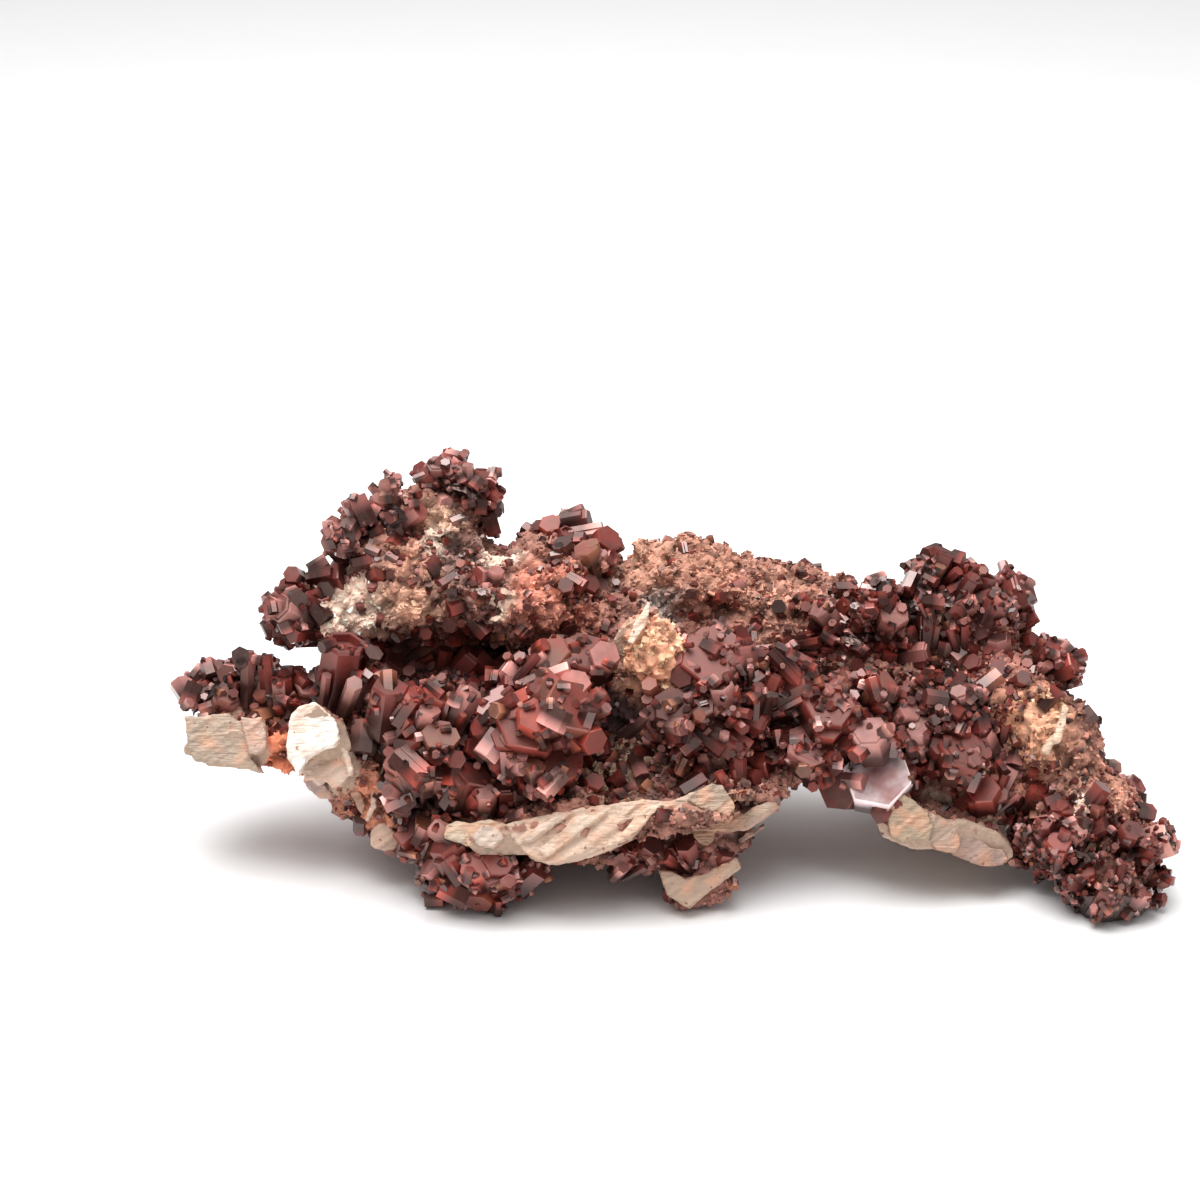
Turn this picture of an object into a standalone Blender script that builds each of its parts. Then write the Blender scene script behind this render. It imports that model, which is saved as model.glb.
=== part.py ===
"""Vanadinite crystals on a barite matrix, a natural mineral specimen.

Metres, +Z up. X runs along the specimen, Y away from its show side, and Z = 0 is the surface
that it rests on. Sizes in the lists are millimetres, and angles are degrees.
"""

import math
import random
from collections import namedtuple

import bmesh
import bpy
from mathutils import Matrix, Vector
from mathutils.bvhtree import BVHTree

MM = 0.001
# Clear space between a crystal group and its rock: the smaller ones are for crevices too narrow for the first
GAPS = (0.45, 0.15, 0.05)
SPACING = 1.05  # least distance between crystals, in sums of their radii
KEPT_AFTER_THINNING = 0.82  # share of the faces that stays when the slivers between crystals are taken out
SEED = 19

# The listed crystals are set out as the show side is seen, by their place on a sheet that faces
# the eye: across from the specimen's middle, and up from the sheet's lower edge, which rests at SHEET
EYE = Vector((-11.2, -366.7, 211.4))
SHEET = Vector((0, -24, 0))
SHEET_UP = Vector((0, 0.4226, 0.9063))
TOWARDS_EYE = Vector((0, -0.9063, 0.4226))

# A lump is an ellipsoid and a blade is a thick plate: centre, half sizes, then turns about Y, X and Z
Lump = namedtuple("Lump", "at half tilt lean turn", defaults=(0, 0, 0))
# A crystal is a hexagonal prism: its place on the sheet, radius and length, how far it leans to the
# right of upright, and how far it points at the eye
Crystal = namedtuple("Crystal", "across up radius length lean facing")
# A group is intergrown crystals: the lumps that they cover, the crystals that stand out, and how
# many more are scattered between them, with their least and greatest radius
Group = namedtuple("Group", "lumps crystals scattered radii")

# Barite under iron-stained druse, from the thin arm on the left to the foot of the leg on the right
MATRIX_LUMPS = [
    Lump((-62, 1, 21), (12, 8, 4.5), tilt=2),
    Lump((-48, -3, 18), (9, 9, 7)),
    Lump((-47, -6, 10.5), (8, 7, 5), tilt=35),
    Lump((-41, -9, 8), (7, 7, 5.5), tilt=30),
    Lump((-32, 3, 18), (21, 13, 9.5)),
    Lump((-52, 6, 36), (9, 8, 5.5), tilt=-14),
    Lump((-44, 8, 41), (8, 8, 8)),
    Lump((-38, 10, 39), (14, 11, 9)),
    Lump((-36, 14, 48), (8.5, 7, 6.5)),
    Lump((-24, 8, 38), (12, 11, 7)),
    Lump((-17, 13, 41.5), (9, 9, 5.5), tilt=8),
    Lump((-9, 8, 32), (9, 9, 8)),
    Lump((-34, 15, 27), (15, 9, 14)),
    Lump((2, 13, 38), (10, 10, 6.5)),
    Lump((17, 13, 35), (15, 10, 5), tilt=8),
    Lump((0, 5, 24), (24, 13, 11)),
    Lump((4, -8, 17), (19, 8, 4.5), tilt=2),
    Lump((-3, -4, 33), (3.5, 5, 5.5)),
    Lump((30, 5, 25), (18, 11, 8)),
    Lump((36, -4, 16), (14, 9, 5), tilt=10),
    Lump((48, -9, 13), (7, 7, 6), tilt=25),
    Lump((44, 9, 31), (12, 10, 7), tilt=8),
    Lump((51, -1, 25), (9, 9, 7), tilt=30),
    Lump((58, -7, 19), (10, 9, 8), tilt=45),
    Lump((63, -13, 10), (9, 9, 8)),
    Lump((65, -21, 4), (6, 6.5, 5)),
    Lump((-16, 17, 13), (20, 9, 14.5)),
    Lump((-27, -12, 10), (12, 9, 9)),
    Lump((-2, -12, 9), (13, 8, 7)),
    Lump((46, 12, 13), (12, 8, 14.5)),
    Lump((53, 3, 17), (9, 9, 8)),
]
# Slabs and blades of barite that the druse leaves bare
BLADES = [
    Lump((-66, -7, 20), (9, 3.5, 3.6), tilt=4),
    Lump((-57, -8, 19), (7, 3, 4), tilt=10),
    Lump((-52.5, -12, 22), (4.6, 1.8, 7.6), tilt=-12),
    Lump((-48.5, -11, 15.5), (5, 2, 6.5), tilt=-40),
    Lump((-45, -10, 11.5), (3, 2, 6), tilt=-20),
    Lump((-20, -19, 13.5), (12, 7, 2.8), tilt=-5),
    Lump((-17, -18, 16), (8, 6, 1.8), tilt=-14),
    Lump((-3, -18, 15.5), (12, 8, 2.4), tilt=-9),
    Lump((4, -17, 17.5), (8, 6, 1.5), tilt=-16),
    Lump((12, -14, 15.5), (6, 6, 1.8), tilt=-18),
    Lump((7, -19, 13), (2.5, 3, 3.5), tilt=20),
    Lump((4, -20, 3.5), (6.5, 4.5, 3.6), tilt=-24),
    Lump((36, -14, 11.5), (6.5, 6, 3.4), tilt=14),
    Lump((45, -13, 8.8), (7, 6, 3.2), tilt=24),
    Lump((-6.4, -5, 37), (2.4, 1.2, 4), tilt=35),
    Lump((-36, 7, 48), (4, 1.4, 1.6), tilt=-20),
    Lump((-27, 0, 41), (3.6, 1.4, 2), tilt=-10),
]
# Small crystals that grew into the druse itself, on the back and between the groups
MATRIX_CRYSTALS = 54
MATRIX_CRYSTAL_RADII = (1.1, 2.0)

GROUPS = {
    "vanadinite_arm": Group(
        [Lump((-69, 0, 25), (6.5, 5, 2.2)), Lump((-60, 1, 25.5), (5.5, 5, 2.2))],
        [
            Crystal(-72, 31.5, 2.3, 6, -40, 50), Crystal(-66.5, 34.5, 2.3, 5, 10, 65),
            Crystal(-64, 34, 1.3, 8, 3, 12), Crystal(-61, 33, 1.3, 9, -6, 8),
            Crystal(-58, 31.5, 2, 5, 20, 50), Crystal(-67.5, 30.5, 1.8, 5, 30, 40),
        ],
        5, (1.2, 1.8)),
    "vanadinite_edge": Group(
        [Lump((-56.5, 4, 37), (4, 4.5, 4.5))],
        [
            Crystal(-57.5, 45, 2.6, 6, -60, 40), Crystal(-60, 46, 1.6, 5, -80, 20),
            Crystal(-57, 49, 1.7, 5, -40, 30),
        ],
        4, (1.2, 1.9)),
    "vanadinite_notch": Group(
        [Lump((-50, -1, 29.5), (4, 4.5, 4.5))],
        [
            Crystal(-50, 37.5, 3.4, 9, 12, 30), Crystal(-54.5, 39.5, 1.9, 6, -25, 25),
            Crystal(-45.5, 35, 2, 5, 70, 20),
        ],
        3, (1.2, 1.9)),
    "vanadinite_shoulder": Group(
        [Lump((-48, 9, 47), (4.5, 5, 4)), Lump((-42.5, 12, 50), (5, 5, 3))],
        [
            Crystal(-50, 56, 1.9, 5, -40, 40), Crystal(-47, 60, 2, 5, -20, 45),
            Crystal(-42, 62.5, 1.5, 5, -10, 15),
        ],
        5, (1.3, 1.9)),
    "vanadinite_peak": Group(
        [Lump((-35.5, 14, 53), (5, 4, 3)), Lump((-31, 13, 50.5), (4, 4, 3))],
        [
            Crystal(-35.5, 66, 1.8, 4, -10, 55), Crystal(-33, 66.5, 1.5, 4, 10, 60),
            Crystal(-29.5, 64, 1.5, 5, 5, 15),
        ],
        6, (1.3, 1.9)),
    "vanadinite_front": Group(
        [
            Lump((-20, -11, 26), (8, 7, 10)), Lump((-27, -11, 20), (8, 6, 7)),
            Lump((-37, -11, 21), (9, 6.5, 8.5)), Lump((-39, -13, 12.5), (5.5, 5, 5)),
            Lump((-36, -17, 7), (5, 5, 6)), Lump((-28.5, -20, 5), (9.5, 7, 5.5)),
        ],
        [
            Crystal(-13.5, 38.5, 4.7, 5, 5, 35), Crystal(-22.5, 38.5, 1.9, 9, 62, 20),
            Crystal(-24, 30.5, 2.2, 8, 65, 12), Crystal(-22.5, 27.5, 4.4, 6, 20, 60),
            Crystal(-16.5, 30, 4.5, 6, 50, 45), Crystal(-18.5, 22, 4.2, 6, 30, 58),
            Crystal(-18.5, 19, 2, 8, 54, 8), Crystal(-40.5, 21, 2.8, 6, -20, 40),
            Crystal(-43, 31, 2.9, 7, 10, 28), Crystal(-37.5, 31, 2.7, 7, 40, 22),
            Crystal(-35.5, 26, 2.7, 5, 20, 60), Crystal(-31, 19, 2.9, 6, 30, 60),
            Crystal(-29.5, 6.5, 2.7, 5, -10, 60), Crystal(-26.5, 7, 2.5, 5, 15, 60),
            Crystal(-33.5, 8.5, 2.5, 6, -30, 30),
        ],
        15, (1.5, 2.4)),
    "vanadinite_centre": Group(
        [
            Lump((4, -9, 27), (8.5, 6, 7.5)), Lump((15, -7, 28.5), (7.5, 6, 8)),
            Lump((28, -9, 24), (9, 6, 7.5)), Lump((41, -8, 24), (9.5, 6.5, 8)),
        ],
        [
            Crystal(5.5, 37.5, 5, 5, 10, 58), Crystal(11, 37, 1.7, 6, -10, 8),
            Crystal(3, 39, 1.5, 6, 88, 6), Crystal(17, 36.5, 1.5, 7, 137, 6),
            Crystal(11, 29, 2, 6, 115, 15), Crystal(0, 30.5, 3.1, 5, 20, 66),
            Crystal(7, 25, 2.4, 8, 122, 8), Crystal(23, 30.5, 4.1, 5, 10, 58),
            Crystal(29.5, 26, 3.1, 5, -20, 48), Crystal(30, 20, 5.2, 5, 160, 60),
            Crystal(40, 20.5, 2.8, 5, -20, 56), Crystal(43, 23.5, 4, 5, 20, 50),
            Crystal(46.5, 18, 2.6, 5, -20, 50), Crystal(20.5, 24, 4, 5, 0, 55),
        ],
        18, (1.5, 2.3)),
    "vanadinite_ridge": Group(
        [Lump((30, 5, 34.5), (8.5, 6, 4.5)), Lump((44, 8, 36.5), (9.5, 7, 5))],
        [
            Crystal(32.5, 43.5, 2.5, 5, 20, 55), Crystal(29.5, 49.5, 2.4, 5, 20, 42),
            Crystal(38.5, 52, 1.3, 6, -10, 10), Crystal(51.5, 47, 3.1, 6, 50, 30),
            Crystal(25.5, 40, 1.6, 7, 110, 6),
        ],
        14, (1.5, 2.2)),
    "vanadinite_knob": Group(
        [Lump((58, 0, 28), (3.6, 3.6, 3.2))],
        [Crystal(56, 38, 2.7, 6, 20, 30), Crystal(58.5, 36, 2, 5, 60, 30)],
        3, (1.3, 1.8)),
    "vanadinite_leg": Group(
        [Lump((59, -16, 8), (9, 7, 6.5)), Lump((66.5, -17, 7), (6.5, 8, 6.5)), Lump((64, -23, 3), (8, 5, 4))],
        [
            Crystal(73, 10.5, 3.1, 7, 70, 25), Crystal(57.5, 9, 1.9, 5, 0, 45),
            Crystal(67, 5, 1.3, 5, 10, 15), Crystal(64.5, 2, 1.7, 5, 20, 45),
        ],
        14, (1.4, 2.1)),
}

# Base colour and roughness
FINISHES = {
    "barite_druse": ((0.3, 0.17, 0.12, 1), 0.8),
    "vanadinite": ((0.2, 0.05, 0.04, 1), 0.25),
}


def make_finish(name, colour, roughness):
    material = bpy.data.materials.new(name)
    material.use_nodes = True
    shader = material.node_tree.nodes["Principled BSDF"]
    shader.inputs["Base Color"].default_value = colour
    shader.inputs["Roughness"].default_value = roughness


def add_object(name, bm, finish):
    mesh = bpy.data.meshes.new(name)
    bm.to_mesh(mesh)
    bm.free()
    mesh.materials.append(bpy.data.materials[finish])
    obj = bpy.data.objects.new(name, mesh)
    bpy.context.scene.collection.objects.link(obj)
    return obj


def add_helper(name, bm):
    """A shape that others are joined to or cut by, and no part of the specimen itself"""
    obj = add_object(name, bm, "barite_druse")
    obj.hide_render = True
    obj.display_type = "WIRE"
    return obj


def placed(lump):
    """The place of a lump or a blade, from a shape of half size 1 at the origin"""
    turns = Matrix.Rotation(math.radians(lump.turn), 4, "Z")
    turns = turns @ Matrix.Rotation(math.radians(lump.tilt), 4, "Y")
    turns = turns @ Matrix.Rotation(math.radians(lump.lean), 4, "X")
    size = Matrix.Diagonal((*Vector(lump.half) * MM, 1))
    return Matrix.Translation(Vector(lump.at) * MM) @ turns @ size


def ellipsoids(lumps):
    bm = bmesh.new()
    for lump in lumps:
        bmesh.ops.create_icosphere(bm, subdivisions=3, radius=1, matrix=placed(lump))
    return bm


def seven_sided_plates(blades):
    """Plates that widen towards their back, each turned to show its corners in other places"""
    bm = bmesh.new()
    upright = Matrix.Rotation(math.radians(90), 4, "X")
    for number, blade in enumerate(blades):
        spun = placed(blade) @ Matrix.Rotation(number, 4, "Y") @ upright
        bmesh.ops.create_cone(bm, cap_ends=True, segments=7, radius1=0.8, radius2=1, depth=2, matrix=spun)
    return bm


def add_prism(bm, middle, axis, radius, length, spin):
    turn = axis.to_track_quat("Z", "Y").to_matrix().to_4x4() @ Matrix.Rotation(spin, 4, "Z")
    bmesh.ops.create_cone(bm, cap_ends=True, segments=6, radius1=radius * MM, radius2=radius * MM,
                          depth=length * MM, matrix=Matrix.Translation(middle) @ turn)


def evaluated(obj):
    graph = bpy.context.evaluated_depsgraph_get()
    graph.update()
    return bpy.data.meshes.new_from_object(obj.evaluated_get(graph))


def make_rock(obj, voxel, bump, bump_size, faces):
    """Fuses the lumps of an object and roughens them into flat-sided rock with about so many faces"""
    fuse = obj.modifiers.new("fuse", "REMESH")
    fuse.mode = "VOXEL"
    fuse.voxel_size = voxel * MM
    noise = bpy.data.textures.new(obj.name + "_bumps", type="CLOUDS")
    noise.noise_scale = bump_size * MM
    roughen = obj.modifiers.new("roughen", "DISPLACE")
    roughen.texture = noise
    roughen.strength = bump * MM
    triangles = sum(len(face.vertices) - 2 for face in evaluated(obj).polygons)
    facet = obj.modifiers.new("facet", "DECIMATE")
    facet.ratio = min(1, faces / triangles)


def join(obj, other):
    union = obj.modifiers.new("join", "BOOLEAN")
    union.operation = "UNION"
    union.object = other
    union.use_self = True


def cut(obj, other):
    difference = obj.modifiers.new("cut", "BOOLEAN")
    difference.operation = "DIFFERENCE"
    difference.object = other
    difference.solver = "MANIFOLD"


def thin_slivers(obj):
    """Takes out the narrow triangles that joining crystals leaves"""
    thin = obj.modifiers.new("thin", "DECIMATE")
    thin.ratio = KEPT_AFTER_THINNING


def settle(obj):
    """Applies an object's modifiers and keeps its largest body"""
    bm = bmesh.new()
    bm.from_mesh(evaluated(obj))
    bmesh.ops.remove_doubles(bm, verts=bm.verts, dist=0.01 * MM)
    bmesh.ops.triangulate(bm, faces=bm.faces)
    bodies = []
    left = set(bm.verts)
    while left:
        body = set()
        front = [left.pop()]
        while front:
            vert = front.pop()
            body.add(vert)
            near = {edge.other_vert(vert) for edge in vert.link_edges} & left
            left -= near
            front += near
        bodies.append(body)
    main = max(bodies, key=len)
    bmesh.ops.delete(bm, geom=[vert for vert in bm.verts if vert not in main], context="VERTS")
    obj.modifiers.clear()
    bm.to_mesh(obj.data)
    bm.free()


def surface_of(obj):
    """A search tree of an object's triangles, and the area, centre and normal of each"""
    bm = bmesh.new()
    bm.from_mesh(evaluated(obj))
    bmesh.ops.triangulate(bm, faces=bm.faces)
    tree = BVHTree.FromBMesh(bm)
    facets = [(face.calc_area(), face.calc_center_median(), face.normal.copy()) for face in bm.faces]
    bm.free()
    return tree, facets


def set_crystals(bm, tree, crystals):
    """Puts each listed crystal where it shows on a surface, half sunk in it, and returns their places"""
    places = []
    for number, crystal in enumerate(crystals):
        mark = SHEET + Vector((crystal.across, 0, 0)) + SHEET_UP * crystal.up
        middle = tree.ray_cast(EYE * MM, (mark - EYE).normalized())[0]
        if middle is None:
            middle = tree.find_nearest(mark * MM)[0]
        lean = math.radians(crystal.lean)
        facing = math.radians(crystal.facing)
        sideways = Vector((math.sin(lean), 0, 0)) + SHEET_UP * math.cos(lean)
        axis = sideways * math.cos(facing) + TOWARDS_EYE * math.sin(facing)
        add_prism(bm, middle, axis, crystal.radius, crystal.length, number)
        places.append((middle, crystal.radius * MM))
    return places


def scatter_crystals(bm, facets, count, radii, places, has_room):
    """Adds crystals over a surface, clear of the places that are taken"""
    areas = [area for area, centre, normal in facets]
    added = 0
    for attempt in range(count * 40):
        area, middle, normal = rng.choices(facets, areas)[0]
        radius = rng.uniform(*radii)
        crowded = any((middle - other).length < SPACING * (radius * MM + reach) for other, reach in places)
        if crowded or not has_room(middle, normal):
            continue
        wander = Vector([rng.uniform(-0.7, 0.7) for part in range(3)])
        axis = (normal + wander).normalized()
        length = radius * rng.uniform(1.8, 2.8)
        add_prism(bm, middle, axis, radius, length, rng.random())
        places.append((middle, radius * MM))
        added += 1
        if added == count:
            break


def clear_of_groups(point, normal):
    """Whether a crystal of the matrix would stand clear of the groups, the bare blades and the underside"""
    if point.z < 3 * MM or normal.z < -0.6:
        return False
    reach = 4.5
    for lump in BLADES + [lump for group in GROUPS.values() for lump in group.lumps]:
        offset = (point / MM - Vector(lump.at))
        if sum((part / (half + reach)) ** 2 for part, half in zip(offset, lump.half)) < 1:
            return False
    return True


def make_matrix():
    matrix = add_object("barite_matrix", ellipsoids(MATRIX_LUMPS), "barite_druse")
    make_rock(matrix, voxel=1.2, bump=4.2, bump_size=5, faces=1300)
    join(matrix, add_helper("bare_blades", seven_sided_plates(BLADES)))
    settle(matrix)
    crystals = bmesh.new()
    facets = surface_of(matrix)[1]
    scatter_crystals(crystals, facets, MATRIX_CRYSTALS, MATRIX_CRYSTAL_RADII, [], clear_of_groups)
    join(matrix, add_helper("matrix_crystals", crystals))
    thin_slivers(matrix)
    settle(matrix)

    for gap in GAPS:
        swollen = add_helper(f"clearance_{gap}", bmesh.new())
        swollen.data = matrix.data.copy()
        swell = swollen.modifiers.new("swell", "DISPLACE")
        swell.strength = gap * MM
        swell.mid_level = 0
        clearances.append(swollen)

    cut(matrix, floor)
    settle(matrix)
    return matrix


def make_group(name, group):
    """Crystals and the lumps under them, joined in one solid and fitted over the rock"""
    obj = add_object(name, ellipsoids(group.lumps), "vanadinite")
    make_rock(obj, voxel=0.9, bump=1.2, bump_size=3, faces=45 * len(group.lumps))
    tree, facets = surface_of(obj)

    def open_place(point, normal):
        nearest, rock_normal, face, distance = rock_tree.find_nearest(point)
        near_other_group = any((point - other).length < reach + 4 * MM for other, reach in group_places)
        return (point - nearest).dot(rock_normal) > 0 and not near_other_group

    crystals = bmesh.new()
    places = set_crystals(crystals, tree, group.crystals)
    scatter_crystals(crystals, facets, group.scattered, group.radii, places, open_place)
    group_places.extend(places)
    join(obj, add_helper(name + "_crystals", crystals))
    thin_slivers(obj)
    for cutter in clearances + [floor]:
        cut(obj, cutter)
    settle(obj)


def centre_over_origin(pieces):
    """Moves the finished pieces sideways, so that the origin is under the middle of the whole specimen"""
    points = [vert.co for piece in pieces for vert in piece.data.vertices]
    middle = []
    for axis in (0, 1):
        along = [point[axis] for point in points]
        middle.append((min(along) + max(along)) / 2)
    for piece in pieces:
        piece.data.transform(Matrix.Translation((-middle[0], -middle[1], 0)))


for old in list(bpy.data.objects):
    bpy.data.objects.remove(old)

for finish, (colour, roughness) in FINISHES.items():
    make_finish(finish, colour, roughness)

rng = random.Random(SEED)
block = bmesh.new()
below = Matrix.Translation((0, 0, -0.05)) @ Matrix.Diagonal((0.3, 0.2, 0.1, 1))
bmesh.ops.create_cube(block, size=1, matrix=below)
floor = add_helper("resting_surface", block)
clearances = []
group_places = []
matrix = make_matrix()
rock_tree = surface_of(matrix)[0]
for name, group in GROUPS.items():
    make_group(name, group)
centre_over_origin([matrix] + [bpy.data.objects[name] for name in GROUPS])
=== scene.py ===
"""A vanadinite on barite specimen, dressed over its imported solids.

Metres, +Z up, with Z = 0 the surface that it rests on. Sizes in the lists are millimetres, and
angles are degrees.
"""

import math
from collections import namedtuple

import bmesh
import bpy
import numpy as np
from mathutils import Matrix, Vector, noise
from mathutils.bvhtree import BVHTree


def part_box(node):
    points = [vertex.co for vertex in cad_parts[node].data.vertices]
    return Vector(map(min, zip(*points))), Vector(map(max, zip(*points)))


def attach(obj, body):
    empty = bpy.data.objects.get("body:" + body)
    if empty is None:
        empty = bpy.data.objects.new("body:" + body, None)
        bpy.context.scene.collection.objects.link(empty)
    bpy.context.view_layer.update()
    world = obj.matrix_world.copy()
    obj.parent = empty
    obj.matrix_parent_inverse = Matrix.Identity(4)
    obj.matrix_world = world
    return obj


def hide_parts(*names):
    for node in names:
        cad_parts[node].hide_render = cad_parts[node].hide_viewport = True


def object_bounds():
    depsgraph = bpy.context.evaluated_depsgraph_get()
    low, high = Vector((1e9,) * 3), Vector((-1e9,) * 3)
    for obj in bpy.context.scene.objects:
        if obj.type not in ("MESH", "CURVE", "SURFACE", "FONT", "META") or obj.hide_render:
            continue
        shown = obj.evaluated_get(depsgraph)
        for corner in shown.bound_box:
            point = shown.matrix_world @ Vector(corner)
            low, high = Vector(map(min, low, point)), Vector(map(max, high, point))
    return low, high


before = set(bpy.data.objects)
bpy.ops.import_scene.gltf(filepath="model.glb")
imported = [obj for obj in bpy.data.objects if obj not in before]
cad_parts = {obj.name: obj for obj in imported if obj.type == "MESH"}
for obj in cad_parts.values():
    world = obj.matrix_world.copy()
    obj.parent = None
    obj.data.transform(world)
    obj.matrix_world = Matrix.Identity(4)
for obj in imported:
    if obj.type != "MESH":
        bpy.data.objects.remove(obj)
cad_low, cad_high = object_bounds()

# The rock is barite, pale inside, that grew as one lump. Iron has stained nearly all of its
# outside brown, orange and tan, and a crust of fine crystals makes it rough. Everything else on
# the specimen grew on it.

MM = 0.001
ROCK_POINTS = 0.65  # between the points of its surface
CRUST_LUMPS = (2.2, 3)  # how much the crust's lumps rise, and how broad they are
CRUST_PITS = (1.9, 1.9)
PLAIN_ROCK = (0.34, 0.155, 0.115)

# Each patch is a place, how far it reaches, and its colour. Most are iron staining, but the
# near-black ones in the deep hollow and in the gap between the front cluster and the centre are
# painted shade. A patch's border wanders by so much, over such a distance, and it is gone at a
# share of its reach
Stain = namedtuple("Stain", "at reach colour")
BORDER_WANDER = (2.2, 3)
STAIN_END = 1.6
STAINS_AND_SHADE = [
    Stain((-48, 1, 38.5), 6.5, (0.95, 0.7, 0.56)),
    Stain((-40, 0, 40), 5, (0.79, 0.44, 0.30)),
    Stain((-33, 5, 46), 5, (0.20, 0.11, 0.09)),
    Stain((-41, 4, 45), 4, (0.52, 0.26, 0.18)),
    Stain((-26, 7, 45), 3, (0.81, 0.61, 0.50)),
    Stain((-36, 9, 52), 3, (0.67, 0.42, 0.29)),
    Stain((-18, 2, 42), 6, (0.67, 0.26, 0.18)),
    Stain((-3, 13, 44), 6, (0.55, 0.29, 0.2)),
    Stain((8, 10, 43), 7, (0.46, 0.22, 0.15)),
    Stain((18, 10, 39), 6, (0.5, 0.24, 0.17)),
    Stain((-1.5, 5, 37), 3, (0.42, 0.33, 0.29)),
    Stain((-3, -6, 35), 4.4, (0.81, 0.45, 0.30)),
    # Painted shade, near black, in the gap between the front cluster and the centre
    Stain((-10, -8, 24), 7, (0.08, 0.04, 0.04)),
    Stain((2, -12, 22), 6, (0.09, 0.06, 0.05)),
    Stain((-8, -13, 18), 6, (0.39, 0.26, 0.18)),
    Stain((6, -18, 18.5), 5, (0.47, 0.26, 0.18)),
    # Painted shade, near black, in the deep hollow
    Stain((-34, 0, 27), 9, (0.05, 0.02, 0.02)),
    Stain((47, -1, 31), 6, (0.52, 0.22, 0.17)),
    Stain((52, -11, 24), 6, (0.67, 0.33, 0.20)),
    Stain((56, -9, 27), 3, (0.79, 0.44, 0.28)),
    Stain((65, -14, 17), 6, (0.5, 0.24, 0.17)),
    Stain((61, -18, 14), 3, (0.73, 0.48, 0.38)),
    Stain((-60, -7, 19), 5, (0.75, 0.24, 0.13)),
    Stain((-45, -12, 12), 5, (0.71, 0.29, 0.18)),
    Stain((0, -16, 8), 8, (0.32, 0.13, 0.11)),
    Stain((-3, -7, 35), 6, (0.93, 0.48, 0.3)),
    Stain((-3, -9, 31.5), 4, (0.9, 0.45, 0.28)),
    Stain((0, -16, 13.5), 5, (0.16, 0.07, 0.055)),
    Stain((9, -16, 12), 4, (0.16, 0.08, 0.06)),
    Stain((-36.1, 7.3, 48), 2.2, (0.84, 0.64, 0.5)),
    Stain((-27.1, 0.3, 41), 2.2, (0.8, 0.6, 0.46)),
    Stain((-20, 24, 20), 10, (0.42, 0.24, 0.17)),
    Stain((-44, 20, 42), 9, (0.42, 0.21, 0.15)),
    Stain((10, 22, 30), 11, (0.38, 0.19, 0.135)),
    Stain((45, 20, 20), 10, (0.4, 0.22, 0.16)),
]

# Slabs and blades that the crust leaves bare: centre, half sizes, and tilt to the right. The
# crust is whole out from a share of their half sizes, and gone so much further in
Bare = namedtuple("Bare", "at half tilt")
BARE_BARITE = [
    Bare((-68.6, -5.7, 20), (6.4, 3.5, 3.6), 4),
    Bare((-52.6, -10.7, 22), (4.6, 1.8, 7.6), -12),
    Bare((-22, -17.7, 12.5), (8, 7, 2.4), -5),
    Bare((35.9, -12.7, 11.5), (6.5, 6, 3.4), 14),
    Bare((44.9, -11.7, 8.8), (7, 6, 3.2), 24),
    Bare((-6.5, -3.7, 37), (2.4, 1.2, 4), 35),
]
BARE_END = 1.22
BARE_FADE = 0.14
BARE_COLOUR = (0.58, 0.41, 0.31)
LEDGE_TOP = 0.6  # the crust covers a slab's top, where it faces up more than this
LEDGE_EDGE = -0.8  # and that is further back than this share of its half size

# Lumps under the long ledge, and a fluffy one in the middle of the front: centre, half sizes
LUMPS = [
    ((-12, -18.5, 9), (6, 4, 3)), ((-4, -18, 8), (6, 4, 3.5)), ((3, -18, 8), (5, 4, 4)),
    ((8, -16, 9), (4, 4, 3)), ((-3, -6, 35), (4.6, 4, 6)), ((-1.5, -7.5, 31), (3, 3.5, 3)),
]

# Painted shade and light: how bright the bottom of a pit, the top of a lump and a bare slab are
PAINTED_PIT_SHADE = 0.12
PAINTED_TOP_LIGHT = 1.15
SLAB_SHADE = 0.9

SEED = 11
dice = np.random.default_rng(SEED)
noise.seed_set(SEED)


def add_piece(name, bm):
    mesh = bpy.data.meshes.new(name)
    bm.to_mesh(mesh)
    bm.free()
    obj = bpy.data.objects.new(name, mesh)
    bpy.context.scene.collection.objects.link(obj)
    return obj


def merged(node):
    """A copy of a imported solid, with its loose triangles joined"""
    bm = bmesh.new()
    bm.from_mesh(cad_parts[node].data)
    bmesh.ops.remove_doubles(bm, verts=bm.verts, dist=0.001 * MM)
    return bm


def remesh(obj, size):
    fuse = obj.modifiers.new("fuse", "REMESH")
    fuse.mode = "VOXEL"
    fuse.voxel_size = size * MM


def roughen(obj, kind, height, breadth, where="", middle=0.5):
    """Lumps of a height and a breadth, or pits where the height is negative. The middle is the
    share of the height that goes inwards"""
    lumps = bpy.data.textures.new(f"{obj.name}_{breadth}", type=kind)
    lumps.noise_scale = breadth * MM
    rough = obj.modifiers.new("rough", "DISPLACE")
    rough.texture = lumps
    rough.strength = height * MM
    rough.vertex_group = where
    rough.mid_level = middle


def points_of(mesh):
    points = np.empty(len(mesh.vertices) * 3)
    mesh.vertices.foreach_get("co", points)
    return points.reshape(-1, 3)


def normals_of(mesh):
    return np.array([vert.normal for vert in mesh.vertices])


def settle(obj):
    """Makes what was asked of an object final, and keeps it above the surface it rests on"""
    graph = bpy.context.evaluated_depsgraph_get()
    graph.update()
    mesh = bpy.data.meshes.new_from_object(obj.evaluated_get(graph))
    obj.modifiers.clear()
    obj.data = mesh
    points = points_of(mesh)
    points[:, 2] = np.maximum(points[:, 2], 0)
    mesh.vertices.foreach_set("co", points.ravel())
    mesh.update()


def wander(points, size):
    """A smooth random shift for each point, of up to about 1, that changes over such a size"""
    return np.array([noise.noise_vector(Vector(point) / (size * MM)) for point in points])


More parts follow.
